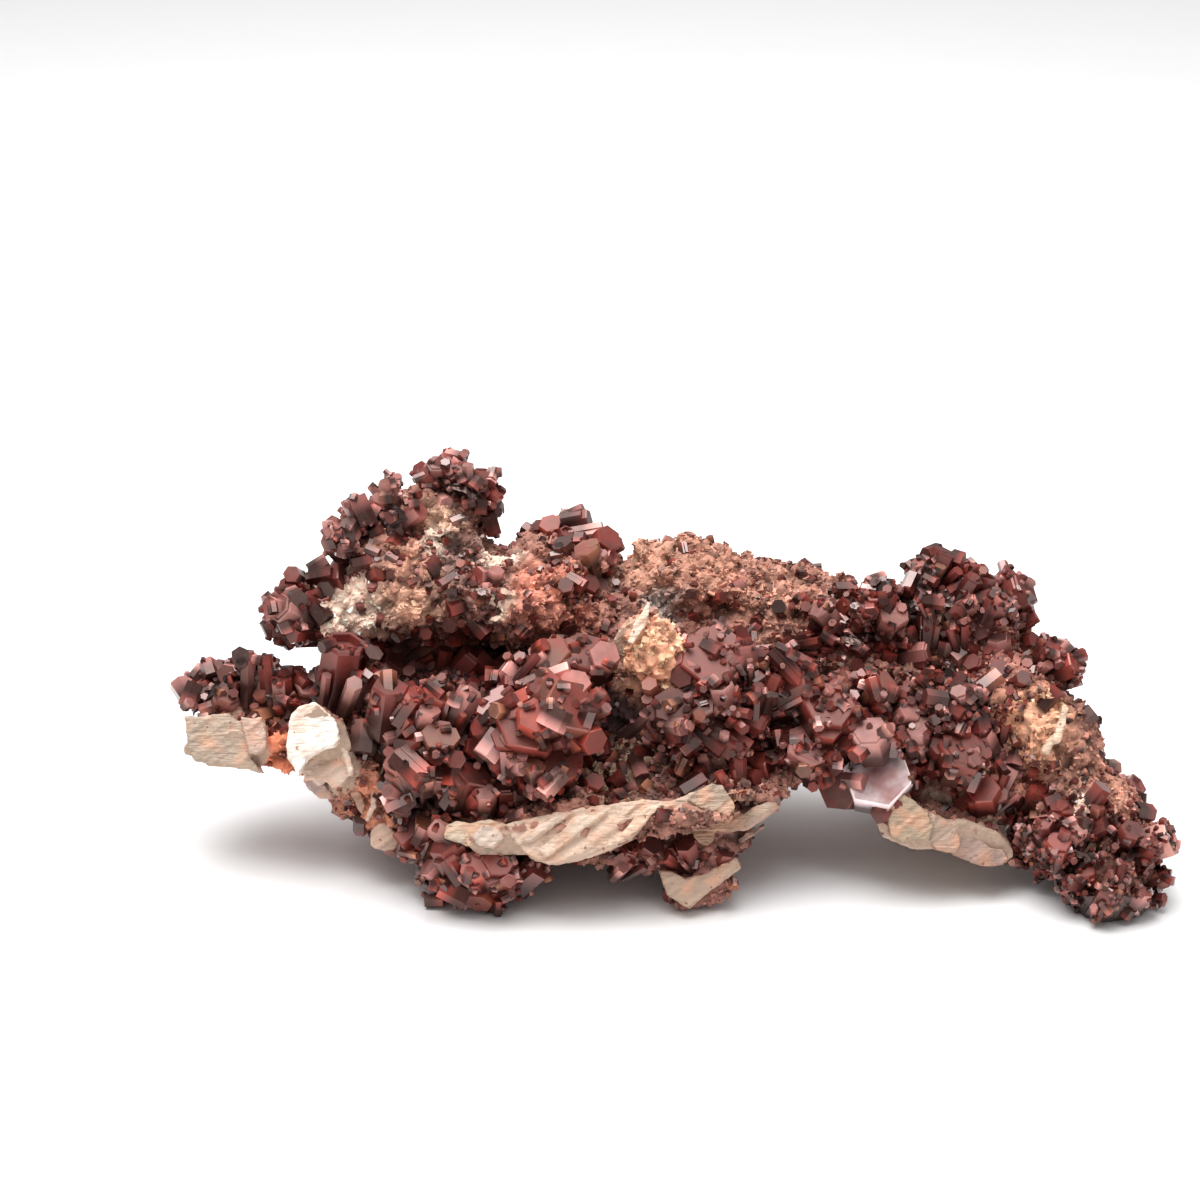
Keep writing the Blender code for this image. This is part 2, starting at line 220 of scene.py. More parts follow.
def in_bare(points, normals):
    """How bare each point of the rock is, from 0 under the crust to 1 in the middle of a slab"""
    bareness = np.zeros(len(points))
    for bare in BARE_BARITE:
        turn = np.array(Matrix.Rotation(math.radians(bare.tilt), 3, "Y"))
        inside = (points / MM - bare.at) @ turn / bare.half
        reach = np.maximum(np.hypot(inside[:, 0], inside[:, 2]), np.abs(inside[:, 1]))
        share = np.clip((BARE_END - reach) / BARE_FADE, 0, 1)
        on_top = (normals[:, 2] > LEDGE_TOP) & (inside[:, 1] > LEDGE_EDGE)
        bareness = np.maximum(bareness, np.where(on_top, 0, share))
    return bareness


def stained_and_shaded(points, bareness):
    """The rock's colour at each point, from staining and painted shade, with borders broken up"""
    shift, over = BORDER_WANDER
    moved = points / MM + shift * wander(points, over)
    colours = np.tile(np.array(PLAIN_ROCK), (len(points), 1))
    for stain in STAINS_AND_SHADE:
        distance = np.linalg.norm(moved - stain.at, axis=1)
        share = np.clip(STAIN_END - distance / stain.reach, 0, 1)[:, None]
        colours = colours * (1 - share) + np.array(stain.colour) * share
    bare = bareness[:, None]
    return colours * (1 - bare) + np.array(BARE_COLOUR) * bare


def set_colours(mesh, name, domain, colours):
    """Gives a mesh a named colour for each point or face"""
    layer = mesh.attributes.new(name, "FLOAT_COLOR", domain)
    layer.data.foreach_set("color", np.column_stack([colours, np.ones(len(colours))]).ravel())


class Wire:
    """What comes out of one socket of a finish, so that shader maths reads as sums"""

    def __init__(self, finish, socket):
        self.finish = finish
        self.socket = socket

    def math(self, operation, first, second):
        return self.finish.node("Math", {"operation": operation}, {0: first, 1: second})

    def __add__(self, other):
        return self.math("ADD", self, other)

    def __sub__(self, other):
        return self.math("SUBTRACT", self, other)

    def __rsub__(self, other):
        return self.math("SUBTRACT", other, self)

    def __mul__(self, other):
        return self.math("MULTIPLY", self, other)

    __radd__ = __add__
    __rmul__ = __mul__


class Finish:
    """A material: what its surface is made of, and what varies over it"""

    def __init__(self, name, **constants):
        self.material = bpy.data.materials.new(name)
        self.material.use_nodes = True
        self.tree = self.material.node_tree
        self.shader = self.tree.nodes["Principled BSDF"]
        for socket, value in constants.items():
            self.shader.inputs[socket.replace("_", " ")].default_value = value

    def node(self, kind, settings=None, sockets=None, out=0):
        """Adds a node: its settings first, then the values or wires of its sockets"""
        made = self.tree.nodes.new("ShaderNode" + kind)
        for name, value in (settings or {}).items():
            if name == "stops":
                ramp = made.color_ramp.elements
                for place, grey in value[2:]:
                    ramp.new(place)
                for stop, (place, grey) in zip(ramp, value):
                    stop.position = place
                    stop.color = (grey, grey, grey, 1)
            else:
                setattr(made, name, value)
        for name, value in (sockets or {}).items():
            if isinstance(value, Wire):
                self.tree.links.new(value.socket, made.inputs[name])
            else:
                made.inputs[name].default_value = value
        return Wire(self, made.outputs[out])

    def ramp(self, value, *stops):
        """Greys that a value runs through, each at its place"""
        return self.node("ValToRGB", {"stops": stops}, {0: value})

    def noise(self, where, scale, detail=3, roughness=0.6):
        sockets = {"Vector": where, "Scale": scale, "Detail": detail, "Roughness": roughness}
        return self.node("TexNoise", None, sockets)

    def attribute(self, name, out):
        return self.node("Attribute", {"attribute_name": name}, None, out)

    def scaled(self, colour, factor):
        return self.node("VectorMath", {"operation": "SCALE"}, {"Vector": colour, "Scale": factor})

    def mixed(self, factor, first, second):
        mix = {"data_type": "RGBA"}
        return self.node("Mix", mix, {0: factor, 6: first, 7: second}, 2)

    def bump(self, height, strength, distance):
        sockets = {"Height": height, "Strength": strength, "Distance": distance}
        return self.node("Bump", None, sockets)

    def feed(self, **wires):
        for socket, wire in wires.items():
            self.tree.links.new(wire.socket, self.shader.inputs[socket.replace("_", " ")])


crust = Finish("stained_crust_painted_shade", IOR=1.6, Specular_IOR_Level=0.3)
spot = crust.node("TexCoord", out="Object")
crumbs = crust.noise(spot, 1400, 4, 0.7)
blotches = crust.noise(spot, 260, 3)
stain = crust.attribute("stain", "Color")
gleam = crust.attribute("gleam", "Fac")
shade = 0.25 + crumbs * 0.9 + blotches * 0.6
crust.feed(
    Base_Color=crust.scaled(stain, shade),
    Roughness=0.95 - crumbs * 0.35 - gleam * 0.55,
    Normal=crust.bump(crumbs, 0.6, 0.3 * MM),
)

lumps = merged("barite_matrix")
for place, half in LUMPS:
    matrix = Matrix.Translation(Vector(place) * MM) @ Matrix.Diagonal((*(Vector(half) * MM), 1))
    bmesh.ops.create_icosphere(lumps, subdivisions=3, radius=1, matrix=matrix)
rock = add_piece("barite_rock", lumps)
remesh(rock, ROCK_POINTS)
settle(rock)
plain_points = points_of(rock.data)
plain_normals = normals_of(rock.data)
crusted = rock.vertex_groups.new(name="crusted")
for index, bare in enumerate(in_bare(plain_points, plain_normals)):
    crusted.add([index], 1 - bare, "REPLACE")
height, breadth = CRUST_LUMPS
roughen(rock, "CLOUDS", height, breadth, where="crusted", middle=0.68)
depth, breadth = CRUST_PITS
roughen(rock, "VORONOI", -depth, breadth, where="crusted", middle=0.4)
settle(rock)
rock_points = points_of(rock.data)
risen = ((rock_points - plain_points) * plain_normals).sum(axis=1)
risen = (risen - risen.min()) / (risen.max() - risen.min())
bareness = in_bare(rock_points, normals_of(rock.data))
# Painted shade: the colour darkens deep in the crust's pits and brightens on its lumps, evenly on
# slabs
painted_relief_shading = np.clip(risen * 2.4 - 0.35, PAINTED_PIT_SHADE, PAINTED_TOP_LIGHT)
painted_relief_shading = painted_relief_shading + (SLAB_SHADE - painted_relief_shading) * bareness
rock_colours = stained_and_shaded(rock_points, bareness) * painted_relief_shading[:, None]
set_colours(rock.data, "stain", "POINT", rock_colours)
rock.data.materials.append(crust.material)
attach(rock, "root")
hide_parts("barite_matrix")

# Where the barite broke or the crust never took, clean blades of it show: the end of the arm's
# slab, white leaves in front, the long feathered ledge, and the smooth lip at the right.

# Their outlines are set out as the show side is seen, on a sheet that leans back by 25 degrees to
# face the eye: across from the specimen's middle, and up from the sheet's lower edge
EYE = Vector((-11.3, -365.4, 211.4))
SHEET = Vector((-0.1, -22.7, 0))
SHEET_UP = Vector((0, 0.4226, 0.9063))
TOWARDS_EYE = Vector((0, -0.9063, 0.4226))

# A leaf stands so far out of the rock, is so thick, tips back by an angle, and has a colour and
# an outline
Leaf = namedtuple("Leaf", "lift thickness tip colour outline")
LEAVES = [
    Leaf(0.7, 4.5, 5, (0.42, 0.31, 0.23), [
        (-73.6, 29.4), (-70.5, 29.2), (-67.3, 29.8), (-65.5, 28.5), (-64.8, 26.1), (-63.7, 23.2),
        (-61.9, 20.8), (-64, 21.4), (-66, 22), (-67.9, 22.3), (-72.1, 22.6), (-73, 24.6),
    ]),
    Leaf(0.9, 3, 6, (0.5, 0.34, 0.27), [
        (-65.2, 29.4), (-63.6, 28.9), (-61.9, 29.2), (-61.2, 26.5), (-61.3, 24.3), (-62.8, 23.5),
        (-63.9, 24), (-64.5, 26.1),
    ]),
    Leaf(2.4, 2.8, 12, (0.96, 0.87, 0.78), [
        (-57.7, 29.5), (-56.2, 30.9), (-54, 31.5), (-52.8, 30.6), (-51.3, 29.2), (-50.5, 27.7),
        (-50.4, 25.8), (-51.1, 25), (-52.5, 24.7), (-53.8, 24), (-55, 23.4), (-55.8, 21.9),
        (-56.5, 20.5), (-57.1, 21.6), (-57.6, 22.6), (-58.2, 22.8), (-58.3, 25), (-58, 27.3),
    ]),
    Leaf(0.7, 1.8, 13, (0.67, 0.49, 0.39), [
        (-51.1, 28.5), (-49.9, 27.3), (-49.2, 25), (-48.4, 22.5), (-48.4, 20.7), (-49.3, 19.6),
        (-50.2, 18.9), (-51.4, 18.7), (-52.3, 19.8), (-53.5, 19.2), (-54.4, 20.2), (-55.6, 19.9),
        (-55.8, 21.6), (-54.4, 23.1), (-52.9, 24.3),
    ]),
    Leaf(0.5, 1.5, 0, (0.43, 0.30, 0.26), [
        (-55.9, 19.8), (-54.4, 20.1), (-52.9, 19.3), (-51.3, 17.7), (-51.7, 16.9), (-53.2, 16.9),
        (-54.9, 18.4),
    ]),
    Leaf(1.2, 0.9, 12, (0.74, 0.57, 0.45), [
        (-50.1, 26.1), (-49.3, 24.6), (-48.4, 22.2), (-48.1, 20.8), (-48.7, 20.4), (-49.5, 22.5),
        (-50.2, 24.3),
    ]),
    Leaf(0.9, 1, 7, (0.54, 0.33, 0.23), [
        (-48.7, 20.5), (-47.5, 19.3), (-46.8, 17.4), (-46.5, 15.6), (-46.9, 14.5), (-47.8, 15.9),
        (-48.7, 18),
    ]),
    Leaf(1.2, 0.8, 9, (0.71, 0.49, 0.39), [
        (-46.3, 21.4), (-45.6, 19.3), (-44.5, 17.2), (-45, 15.1), (-46, 13.2), (-46.5, 13.8),
        (-45.6, 16.3), (-45.7, 17.8), (-46.5, 19.8),
    ]),
    Leaf(1.5, 0.6, 15, (0.80, 0.62, 0.52), [
        (-43.5, 22.9), (-42.9, 22.3), (-44.1, 20.4), (-44.5, 20.5),
    ]),
    Leaf(0.7, 3, 3, (0.65, 0.43, 0.32), [
        (-45.6, 10), (-45.6, 12), (-44.5, 13.3), (-43, 13), (-41.5, 11.5), (-41.2, 10.5),
        (-42.1, 9.4), (-43.6, 9.1), (-44.8, 9.4),
    ]),
    Leaf(0.8, 3, 11, (0.50, 0.39, 0.28), [
        (-34.6, 11.1), (-34.3, 12.9), (-32.8, 13.6), (-30.4, 13.3), (-28, 13.9), (-25.8, 13.3),
        (-24.9, 11.4), (-26.1, 9.6), (-27.9, 8.8), (-29.2, 9.6), (-31.9, 10.2),
    ]),
    Leaf(1.3, 1.5, 15, (0.55, 0.42, 0.34), [
        (-30.7, 11.4), (-28.9, 12.9), (-26.5, 12.9), (-25.6, 11.1), (-27.1, 9.6), (-29.2, 9.9),
    ]),
    Leaf(1, 4, 12, (0.62, 0.44, 0.33), [
        (-25.3, 13.2), (-21.7, 14.1), (-17.2, 15), (-12.7, 15.9), (-8.2, 16.3), (-4.5, 16.9),
        (-0.4, 16.6), (2.2, 17.8), (4.3, 18.6), (4.3, 17.2), (2.5, 15.6), (0, 15.1), (-3, 14.5),
        (-4.5, 12.9), (-6.4, 11.1), (-9.4, 9.7), (-12.7, 8.5), (-16.5, 7.6), (-19, 7.5),
        (-21.7, 8.4), (-23.5, 9.9), (-24.6, 11.4),
    ]),
    Leaf(0.95, 0.9, 13, (0.69, 0.52, 0.41), [
        (-22.9, 11.1), (-20.2, 13), (-17.2, 14.8), (-15, 15.1), (-17.8, 13.3), (-20.5, 11.4),
        (-22, 10.3),
    ]),
    Leaf(1, 0.9, 13.5, (0.71, 0.54, 0.41), [
        (-20.5, 9.3), (-17.2, 12), (-14.2, 14.2), (-10.9, 15.6), (-9.7, 15.3), (-12.7, 13.2),
        (-16, 10.5), (-19, 8.4),
    ]),
    Leaf(0.95, 0.9, 12, (0.66, 0.46, 0.34), [
        (-16.3, 8.2), (-12.7, 10.8), (-10.3, 13.2), (-7.9, 15.3), (-6.1, 15.9), (-7.6, 13.5),
        (-10.6, 10.8), (-13.9, 8.5),
    ]),
    Leaf(1, 0.9, 12.5, (0.67, 0.49, 0.36), [
        (-10.9, 9.6), (-7.9, 11.7), (-6.1, 14.1), (-3.7, 16), (-1.3, 16.3), (-3.4, 14.5),
        (-5.2, 12.6), (-7.9, 10.5),
    ]),
    Leaf(1.5, 2.2, 15, (0.34, 0.24, 0.17), [
        (1.9, 16.8), (3.7, 18.4), (5.5, 19.3), (7, 19), (8.2, 17.5), (9.1, 15.6), (7.9, 14.5),
        (5.8, 15), (3.7, 15.6),
    ]),
    Leaf(1, 3, 10, (0.40, 0.23, 0.15), [
        (3.1, 15), (6, 15.6), (9, 15), (11.2, 14.5), (10.3, 12.6), (7.9, 12), (6.1, 12.3),
        (5.8, 10.8), (4.9, 10), (3.7, 10.5), (2.8, 11.4), (2.7, 13.2),
    ]),
    Leaf(1.6, 1, 11, (0.43, 0.31, 0.23), [
        (6.7, 12.9), (9.4, 14.1), (12.1, 15.9), (14.5, 16.8), (15.4, 16.3), (13.3, 14.7),
        (10.9, 13.2), (8.5, 12),
    ]),
    Leaf(1.1, 1, 10, (0.42, 0.27, 0.21), [
        (8.8, 12), (11.5, 13.5), (14.2, 15.4), (16.2, 16.2), (16, 15.6), (13.6, 13.9),
        (10.9, 12.3),
    ]),
    Leaf(0.4, 0.8, 6, (0.20, 0.14, 0.13), [
        (9.4, 10.8), (11.5, 12.4), (13.6, 13.3), (13.3, 12.6), (11.2, 11.1), (10, 10.3),
    ]),
    Leaf(0.9, 3.4, 6, (0.48, 0.33, 0.24), [
        (-2.3, 6.2), (-1.1, 2.6), (2.3, 0.5), (5.6, 3.3), (10, 6.6), (9.4, 8.2), (7, 7.1),
        (3.8, 5.4), (1.4, 5), (-0.5, 6.2),
    ]),
    Leaf(0.9, 3.6, 7, (0.38, 0.27, 0.18), [
        (31.6, 16.8), (33.7, 17.8), (35.8, 16.8), (37.9, 15), (38.8, 12.9), (38.2, 10.8),
        (36.1, 10.8), (34.2, 10.3), (32.4, 11.5), (31.9, 13.8),
    ]),
    Leaf(1.1, 3.4, 6, (0.40, 0.27, 0.20), [
        (36.4, 15.9), (38.5, 14.7), (40.8, 13.8), (42.4, 12.3), (43, 10), (42.1, 8.8),
        (40.8, 9.1), (39.1, 9.6), (37.8, 10.6), (36.4, 12.3),
    ]),
    Leaf(0.9, 3.2, 5, (0.38, 0.25, 0.20), [
        (40.3, 13.2), (42.4, 12.6), (45, 11.7), (47.2, 9.7), (49.3, 9.3), (50.1, 7.6),
        (48.7, 6.9), (46, 6.9), (43.6, 7.9), (41.7, 8.8), (40.5, 10.8),
    ]),
    Leaf(1.6, 0.9, 15, (0.78, 0.59, 0.46), [
        (-7.2, 40.6), (-6.3, 42.9), (-4.9, 45), (-4, 46.8), (-3.6, 46.2), (-4, 43.5),
        (-5.2, 41.7), (-6.3, 40.2),
    ]),
    Leaf(1.2, 0.8, 18, (0.67, 0.49, 0.35), [
        (56.8, 25.8), (57.4, 28.5), (58.3, 31.2), (59.1, 30.6), (58.6, 27.6), (57.7, 25.2),
    ]),
    Leaf(1, 0.8, 18, (0.59, 0.42, 0.30), [
        (55, 24), (55.6, 25.8), (56.5, 26.7), (57.1, 25.5), (56.2, 23.4),
    ]),
    Leaf(1, 0.9, 9, (0.58, 0.39, 0.29), [
        (61.2, 6.6), (61.6, 9.3), (62.8, 11.1), (63.6, 10.5), (62.8, 8.4), (62.1, 6),
    ]),
]
LEAF_POINTS = 0.3  # between the points of their surface
LEAF_LUMPS = (0.3, 2.2)
LEAF_GRAIN = (0.3, 0.8)
RUST = (0.7, 0.34, 0.2)  # in patches over the leaves, of up to so much
RUST_MOST = 0.55

# Feathered strokes run up to the right over every leaf: how deep they are, how far they go along
# themselves, out of the rock and across, and which ways those are
STROKE_DEPTH = 0.14
STROKE_SIZES = (8, 1.5, 0.6)
STROKE_WAYS = ((0.84, 0, 0.54), (0, 1, 0), (-0.54, 0, 0.84))


def triangles_of(mesh):
    mesh.calc_loop_triangles()
    return np.array([triangle.vertices for triangle in mesh.loop_triangles])


class Surface:
    """What grains and crystals grow on: its triangles, and a tree to look them up in"""

    def __init__(self, points, triangles):
        self.tree = BVHTree.FromPolygons(points.tolist(), triangles.tolist())
        self.corners = points[triangles]
        across = self.corners[:, 1] - self.corners[:, 0]
        along = self.corners[:, 2] - self.corners[:, 0]
        normals = np.cross(across, along)
        double = np.linalg.norm(normals, axis=1)
        self.normals = normals / np.maximum(double, 1e-15)[:, None]
        self.share = double / double.sum()

    def pick(self, count):
        """Random points all over the surface, with the surface's direction at each"""
        chosen = dice.choice(len(self.share), count, p=self.share)
        first, second = dice.random((2, count, 1))
        over = first + second > 1
        first, second = np.where(over, 1 - first, first), np.where(over, 1 - second, second)
        a, b, c = self.corners[chosen].transpose(1, 0, 2)
        return a + first * (b - a) + second * (c - a), self.normals[chosen]


rock_surface = Surface(rock_points, triangles_of(rock.data))


def add_leaf(bm, leaf):
    """Adds a leaf to a mesh: its outline on a plane through the rock's face, drawn out behind"""
    marks = [SHEET + Vector((across, 0, 0)) + SHEET_UP * up for across, up in leaf.outline]
    middle = sum(marks, Vector()) / len(marks)
    line = (middle - EYE).normalized()
    hit = rock_surface.tree.ray_cast(EYE * MM, line)[0]
    if hit is None:
        hit = rock_surface.tree.find_nearest(EYE * MM + line * 0.4)[0]
    tip = math.radians(leaf.tip)
    normal = TOWARDS_EYE * math.cos(tip) + SHEET_UP * math.sin(tip)
    face_at = hit / MM - line * leaf.lift
    corners = []
    for mark in marks:
        ray = (mark - EYE).normalized()
        reach = (face_at - EYE).dot(normal) / ray.dot(normal)
        corners.append(bm.verts.new((EYE + ray * reach) * MM))
    front = bm.faces.new(corners)
    front.normal_update()
    if front.normal.dot(normal) < 0:
        front.normal_flip()
    bmesh.ops.solidify(bm, geom=[front], thickness=leaf.thickness * MM)


cream = Finish("clean_barite", IOR=1.62)
spot = cream.node("TexCoord", out="Object")
along = cream.node("Mapping", None, {
    "Vector": spot, "Rotation": (0, math.radians(28), 0), "Scale": (260, 1400, 2300),
})
fibres = cream.noise(along, 1, 3)
mottling = cream.noise(spot, 500, 3)
flecks = cream.ramp(cream.noise(spot, 900, 1), (0.69, 0.0), (0.73, 1.0))
stain = cream.attribute("stain", "Color")
clean = cream.scaled(stain, 0.78 + fibres * 0.22 + mottling * 0.22)
cream.feed(
    Base_Color=cream.mixed(flecks * 0.85, clean, (0.24, 0.08, 0.04, 1)),
    Roughness=0.42 + mottling * 0.3,
    Normal=cream.bump(fibres + mottling * 0.4, 0.9, 0.4 * MM),
)

sheaf = bmesh.new()
face_colours = []
for leaf in LEAVES:
    add_leaf(sheaf, leaf)
    face_colours += [leaf.colour] * (len(sheaf.faces) - len(face_colours))
bmesh.ops.recalc_face_normals(sheaf, faces=sheaf.faces)
sheaf.faces.ensure_lookup_table()
leaf_tree = BVHTree.FromBMesh(sheaf)
ledges = add_piece("barite_leaves", sheaf)
remesh(ledges, LEAF_POINTS)
soft = ledges.modifiers.new("soft", "SMOOTH")
soft.factor = 0.5
soft.iterations = 1
for height, breadth in (LEAF_LUMPS, LEAF_GRAIN):
    roughen(ledges, "CLOUDS", height, breadth)
settle(ledges)

leaf_points = points_of(ledges.data)
stretched = leaf_points @ np.array(STROKE_WAYS).T / (np.array(STROKE_SIZES) * MM)
strokes = np.array([noise.noise(Vector(point)) for point in stretched])[:, None]
leaf_points += normals_of(ledges.data) * strokes * STROKE_DEPTH * MM
ledges.data.vertices.foreach_set("co", leaf_points.ravel())
ledges.data.update()
nearest = [leaf_tree.find_nearest(Vector(point))[2] for point in leaf_points]
leaf_colours = np.array(face_colours)[nearest]
rust = np.clip(wander(leaf_points, 2.5)[:, :1] + 0.1, 0, RUST_MOST)
leaf_colours = leaf_colours * (1 - rust) + np.array(RUST) * rust
leaf_colours = np.clip(leaf_colours * (1 + strokes * 0.3), 0, 1)
set_colours(ledges.data, "stain", "POINT", leaf_colours)
ledges.data.materials.append(cream.material)
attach(ledges, "root")
leaves_surface = Surface(leaf_points, triangles_of(ledges.data))


def near_leaves(places, reach):
    """Which places are within reach of a leaf"""
    found = [leaves_surface.tree.find_nearest(Vector(place), reach * MM)[0] for place in places]
    return np.array([place is not None for place in found], bool)


# The crust over the rock is a sugar of grains, crumbs and tiny plates under a millimetre across,
# barite and vanadinite together, coated with iron oxide. Some faces are clean and flash.

CRUST_GRAINS = 34000
GRAIN_SIZES = (0.2, 0.56)
GRAIN_SHADES = (0.35, 1.6)
CLEAN_GRAINS = 0.16  # the share of them that flash
GRAIN_DEPTH = 0.6  # no grains are deeper than this inside a crystal group
LEAF_MARGIN = 0.5  # or nearer than this to a clean leaf
CRUST_THIRDS = {"crust_left": (-90, -20), "crust_middle": (-20, 26), "crust_right": (26, 90)}
SPILL = 0.4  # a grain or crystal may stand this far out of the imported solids' box
ON_OTHERS = 0.13  # how readily crystals start on each other, beside on the mass between them
GROUPS = [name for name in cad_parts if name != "barite_matrix"]

Shape = namedtuple("Shape", "corners triangles ends")


def small_shape(bm):
    """The corners and triangles of one grain or crystal, and which triangles are its flat ends"""
    bmesh.ops.triangulate(bm, faces=bm.faces)
    bm.normal_update()
    corners = np.array([vert.co for vert in bm.verts])
    triangles = np.array([[vert.index for vert in face.verts] for face in bm.faces])
    ends = np.array([face.normal.z > 0.95 for face in bm.faces], float)
    bm.free()
    return Shape(corners, triangles, ends)


def crumb():
    bm = bmesh.new()
    bmesh.ops.create_uvsphere(bm, u_segments=4, v_segments=2, radius=1.1)
    bmesh.ops.scale(bm, vec=(1, 0.8, 0.9), verts=bm.verts)
    return small_shape(bm)


def chip():
    bm = bmesh.new()
    bmesh.ops.create_cube(bm, size=1.7)
    bmesh.ops.scale(bm, vec=(1, 0.45, 1.1), verts=bm.verts)
    return small_shape(bm)


def sliver():
    bm = bmesh.new()
    bmesh.ops.create_cone(bm, cap_ends=True, segments=4, radius1=0.7, radius2=0.4, depth=2.6)
    return small_shape(bm)


def buried(tree, points, depth=0.0):
    """Which points are deeper than so much inside closed solids"""
    deep = []
    for point in points:
        nearest, normal = tree.find_nearest(Vector(point))[:2]
        deep.append((Vector(point) - nearest).dot(normal) < -depth * MM)
    return np.array(deep, bool)


def unit(vectors):
    return vectors / np.linalg.norm(vectors, axis=1, keepdims=True)


class Growth:
    """Grains or crystals that have grown together into one piece. Those that are sown in it keep
    their tips in a box"""

    def __init__(self, low=cad_low, high=cad_high):
        self.low = np.array(low)
        self.high = np.array(high)
        self.corners = []
        self.triangles = []
        self.stains_and_shade = []
        self.gleams = []
        self.ends = []
        self.rises = []
        self.total = 0

    def surface(self):
        """All of it so far, with its crystals less inviting to others than its mass is"""
        surface = Surface(np.concatenate(self.corners), np.concatenate(self.triangles))
        surface.share[len(self.triangles[0]):] *= ON_OTHERS
        surface.share /= surface.share.sum()
        return surface

    def add(self, shape, places, axes, sizes, stains_and_shade, gleams):
        """One copy of a shape at each place, along its axis and turned about it at random"""
        count = len(places)
        spins = dice.random(count) * 2 * math.pi
        axes = unit(axes)
        helper = np.where(np.abs(axes[:, :1]) < 0.8, [[1.0, 0, 0]], [[0, 1.0, 0]])
        side = unit(np.cross(helper, axes))
        other = np.cross(axes, side)
        turn, lift = np.cos(spins)[:, None], np.sin(spins)[:, None]
        side, other = side * turn + other * lift, other * turn - side * lift
        frames = np.stack([side, other, axes], axis=2)
        scaled = shape.corners[None] * sizes[:, None, :] * MM
        corners = np.einsum("nij,nvj->nvi", frames, scaled) + places[:, None, :]
        low, high = corners.min(axis=1), corners.max(axis=1)
        floor = np.array(cad_low) - SPILL * MM
        floor[2] = cad_low.z
        ceiling = np.array(cad_high) + SPILL * MM
        shift = np.maximum(floor - low, 0) + np.minimum(ceiling - high, 0)
        corners += shift[:, None, :]
        step = np.arange(count)[:, None, None] * len(shape.corners) + self.total
        self.corners.append(corners.reshape(-1, 3))
        self.triangles.append((shape.triangles[None] + step).reshape(-1, 3))
        self.stains_and_shade.append(np.repeat(stains_and_shade, len(shape.triangles), axis=0))
        self.gleams.append(np.repeat(gleams, len(shape.triangles)))
        self.ends.append(np.tile(shape.ends, count))
        self.rises.append(np.tile(np.clip(shape.corners[:, 2], 0, 1), count))
        self.total += count * len(shape.corners)

    def add_mesh(self, mesh, stains_and_shade):
        """Joins the mass that the crystals grow out of, with a colour for each of its points"""
        points = points_of(mesh)
        triangles = triangles_of(mesh)
        self.corners.append(points)
        self.triangles.append(triangles + self.total)
        self.stains_and_shade.append(stains_and_shade[triangles[:, 0]])
        self.gleams.append(np.zeros(len(triangles)))
        self.ends.append(np.zeros(len(triangles)))
        self.rises.append(np.zeros(len(points)))
        self.total += len(points)

    def piece(self, name, finish):
        mesh = bpy.data.meshes.new(name)
        mesh.from_pydata(np.concatenate(self.corners), [], np.concatenate(self.triangles))
        set_colours(mesh, "stain", "FACE", np.concatenate(self.stains_and_shade))
        for layer_name, values in (("gleam", self.gleams), ("end", self.ends)):
            layer = mesh.attributes.new(layer_name, "FLOAT", "FACE")
            layer.data.foreach_set("value", np.concatenate(values))
        # How far up its crystal each point is, by which the finish paints shade at the foot
        rise = mesh.attributes.new("rise", "FLOAT", "POINT")
        rise.data.foreach_set("value", np.concatenate(self.rises))
        mesh.materials.append(finish.material)
        obj = bpy.data.objects.new(name, mesh)
        bpy.context.scene.collection.objects.link(obj)
        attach(obj, "root")
        return obj


def all_groups():
    """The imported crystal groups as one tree"""
    bm = bmesh.new()
    for name in GROUPS:
        bm.from_mesh(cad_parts[name].data)
    tree = BVHTree.FromBMesh(bm)
    bm.free()
    return tree


group_tree = all_groups()
places, normals = rock_surface.pick(CRUST_GRAINS)
bareness = in_bare(places, normals)
kept = (bareness < dice.random(len(places)) * 1.06) & (places[:, 2] > 0.3 * MM)
kept[kept] = ~buried(group_tree, places[kept], GRAIN_DEPTH)
kept[kept] = ~near_leaves(places[kept], LEAF_MARGIN)
places, normals = places[kept], normals[kept]
colours = stained_and_shaded(places, np.zeros(len(places)))
colours *= dice.uniform(*GRAIN_SHADES, (len(places), 1))
colours[:, 0] *= dice.uniform(0.9, 1.12, len(places))
colours = np.clip(colours, 0, 0.92)
sizes = dice.uniform(*GRAIN_SIZES, (len(places), 1)) * dice.uniform(0.6, 1.25, (len(places), 3))
axes = unit(dice.normal(size=(len(places), 3)) + normals * 0.5)
gleams = (dice.random(len(places)) < CLEAN_GRAINS).astype(float)
kinds = dice.choice(3, len(places), p=[0.4, 0.35, 0.25])
for name, (left, right) in CRUST_THIRDS.items():
    third = Growth()
    across = (places[:, 0] >= left * MM) & (places[:, 0] < right * MM)
    for kind, shape in enumerate([crumb(), chip(), sliver()]):
        mine = across & (kinds == kind)
        third.add(shape, places[mine], axes[mine], sizes[mine], colours[mine], gleams[mine])
    piece = third.piece(name, crust)

# Vanadinite is in short six-sided prisms with flat ends, dark red to brown, with a resinous
# shine. They grew in one mass with each other: some are stepped, ribbed, hollow at the end or
# nested in parallel. The first group stands along the top of the thin arm.

# A crystal's place is set out on the sheet too: across and up, then its radius and length, how
# far it leans to the right of upright, and how far it points at the eye. A row may go on with a
# tint of the crystal's own, and with how much further than the rest it stands out
Crystal = namedtuple("Crystal", "across up radius length lean facing tint out", defaults=[None, 0])

DARK_RED = (0.12, 0.022, 0.018)
BRIGHT_RED = (0.42, 0.065, 0.04)
RUSSET = (0.36, 0.15, 0.085)
MAGENTA_RED = (0.6, 0.03, 0.07)
# A painted sheen: the pale mauve of the broad plate stands in for the light its face reflects
MAUVE_PAINTED_SHEEN = (0.92, 0.74, 0.75)
DUSTY = (0.56, 0.26, 0.23)

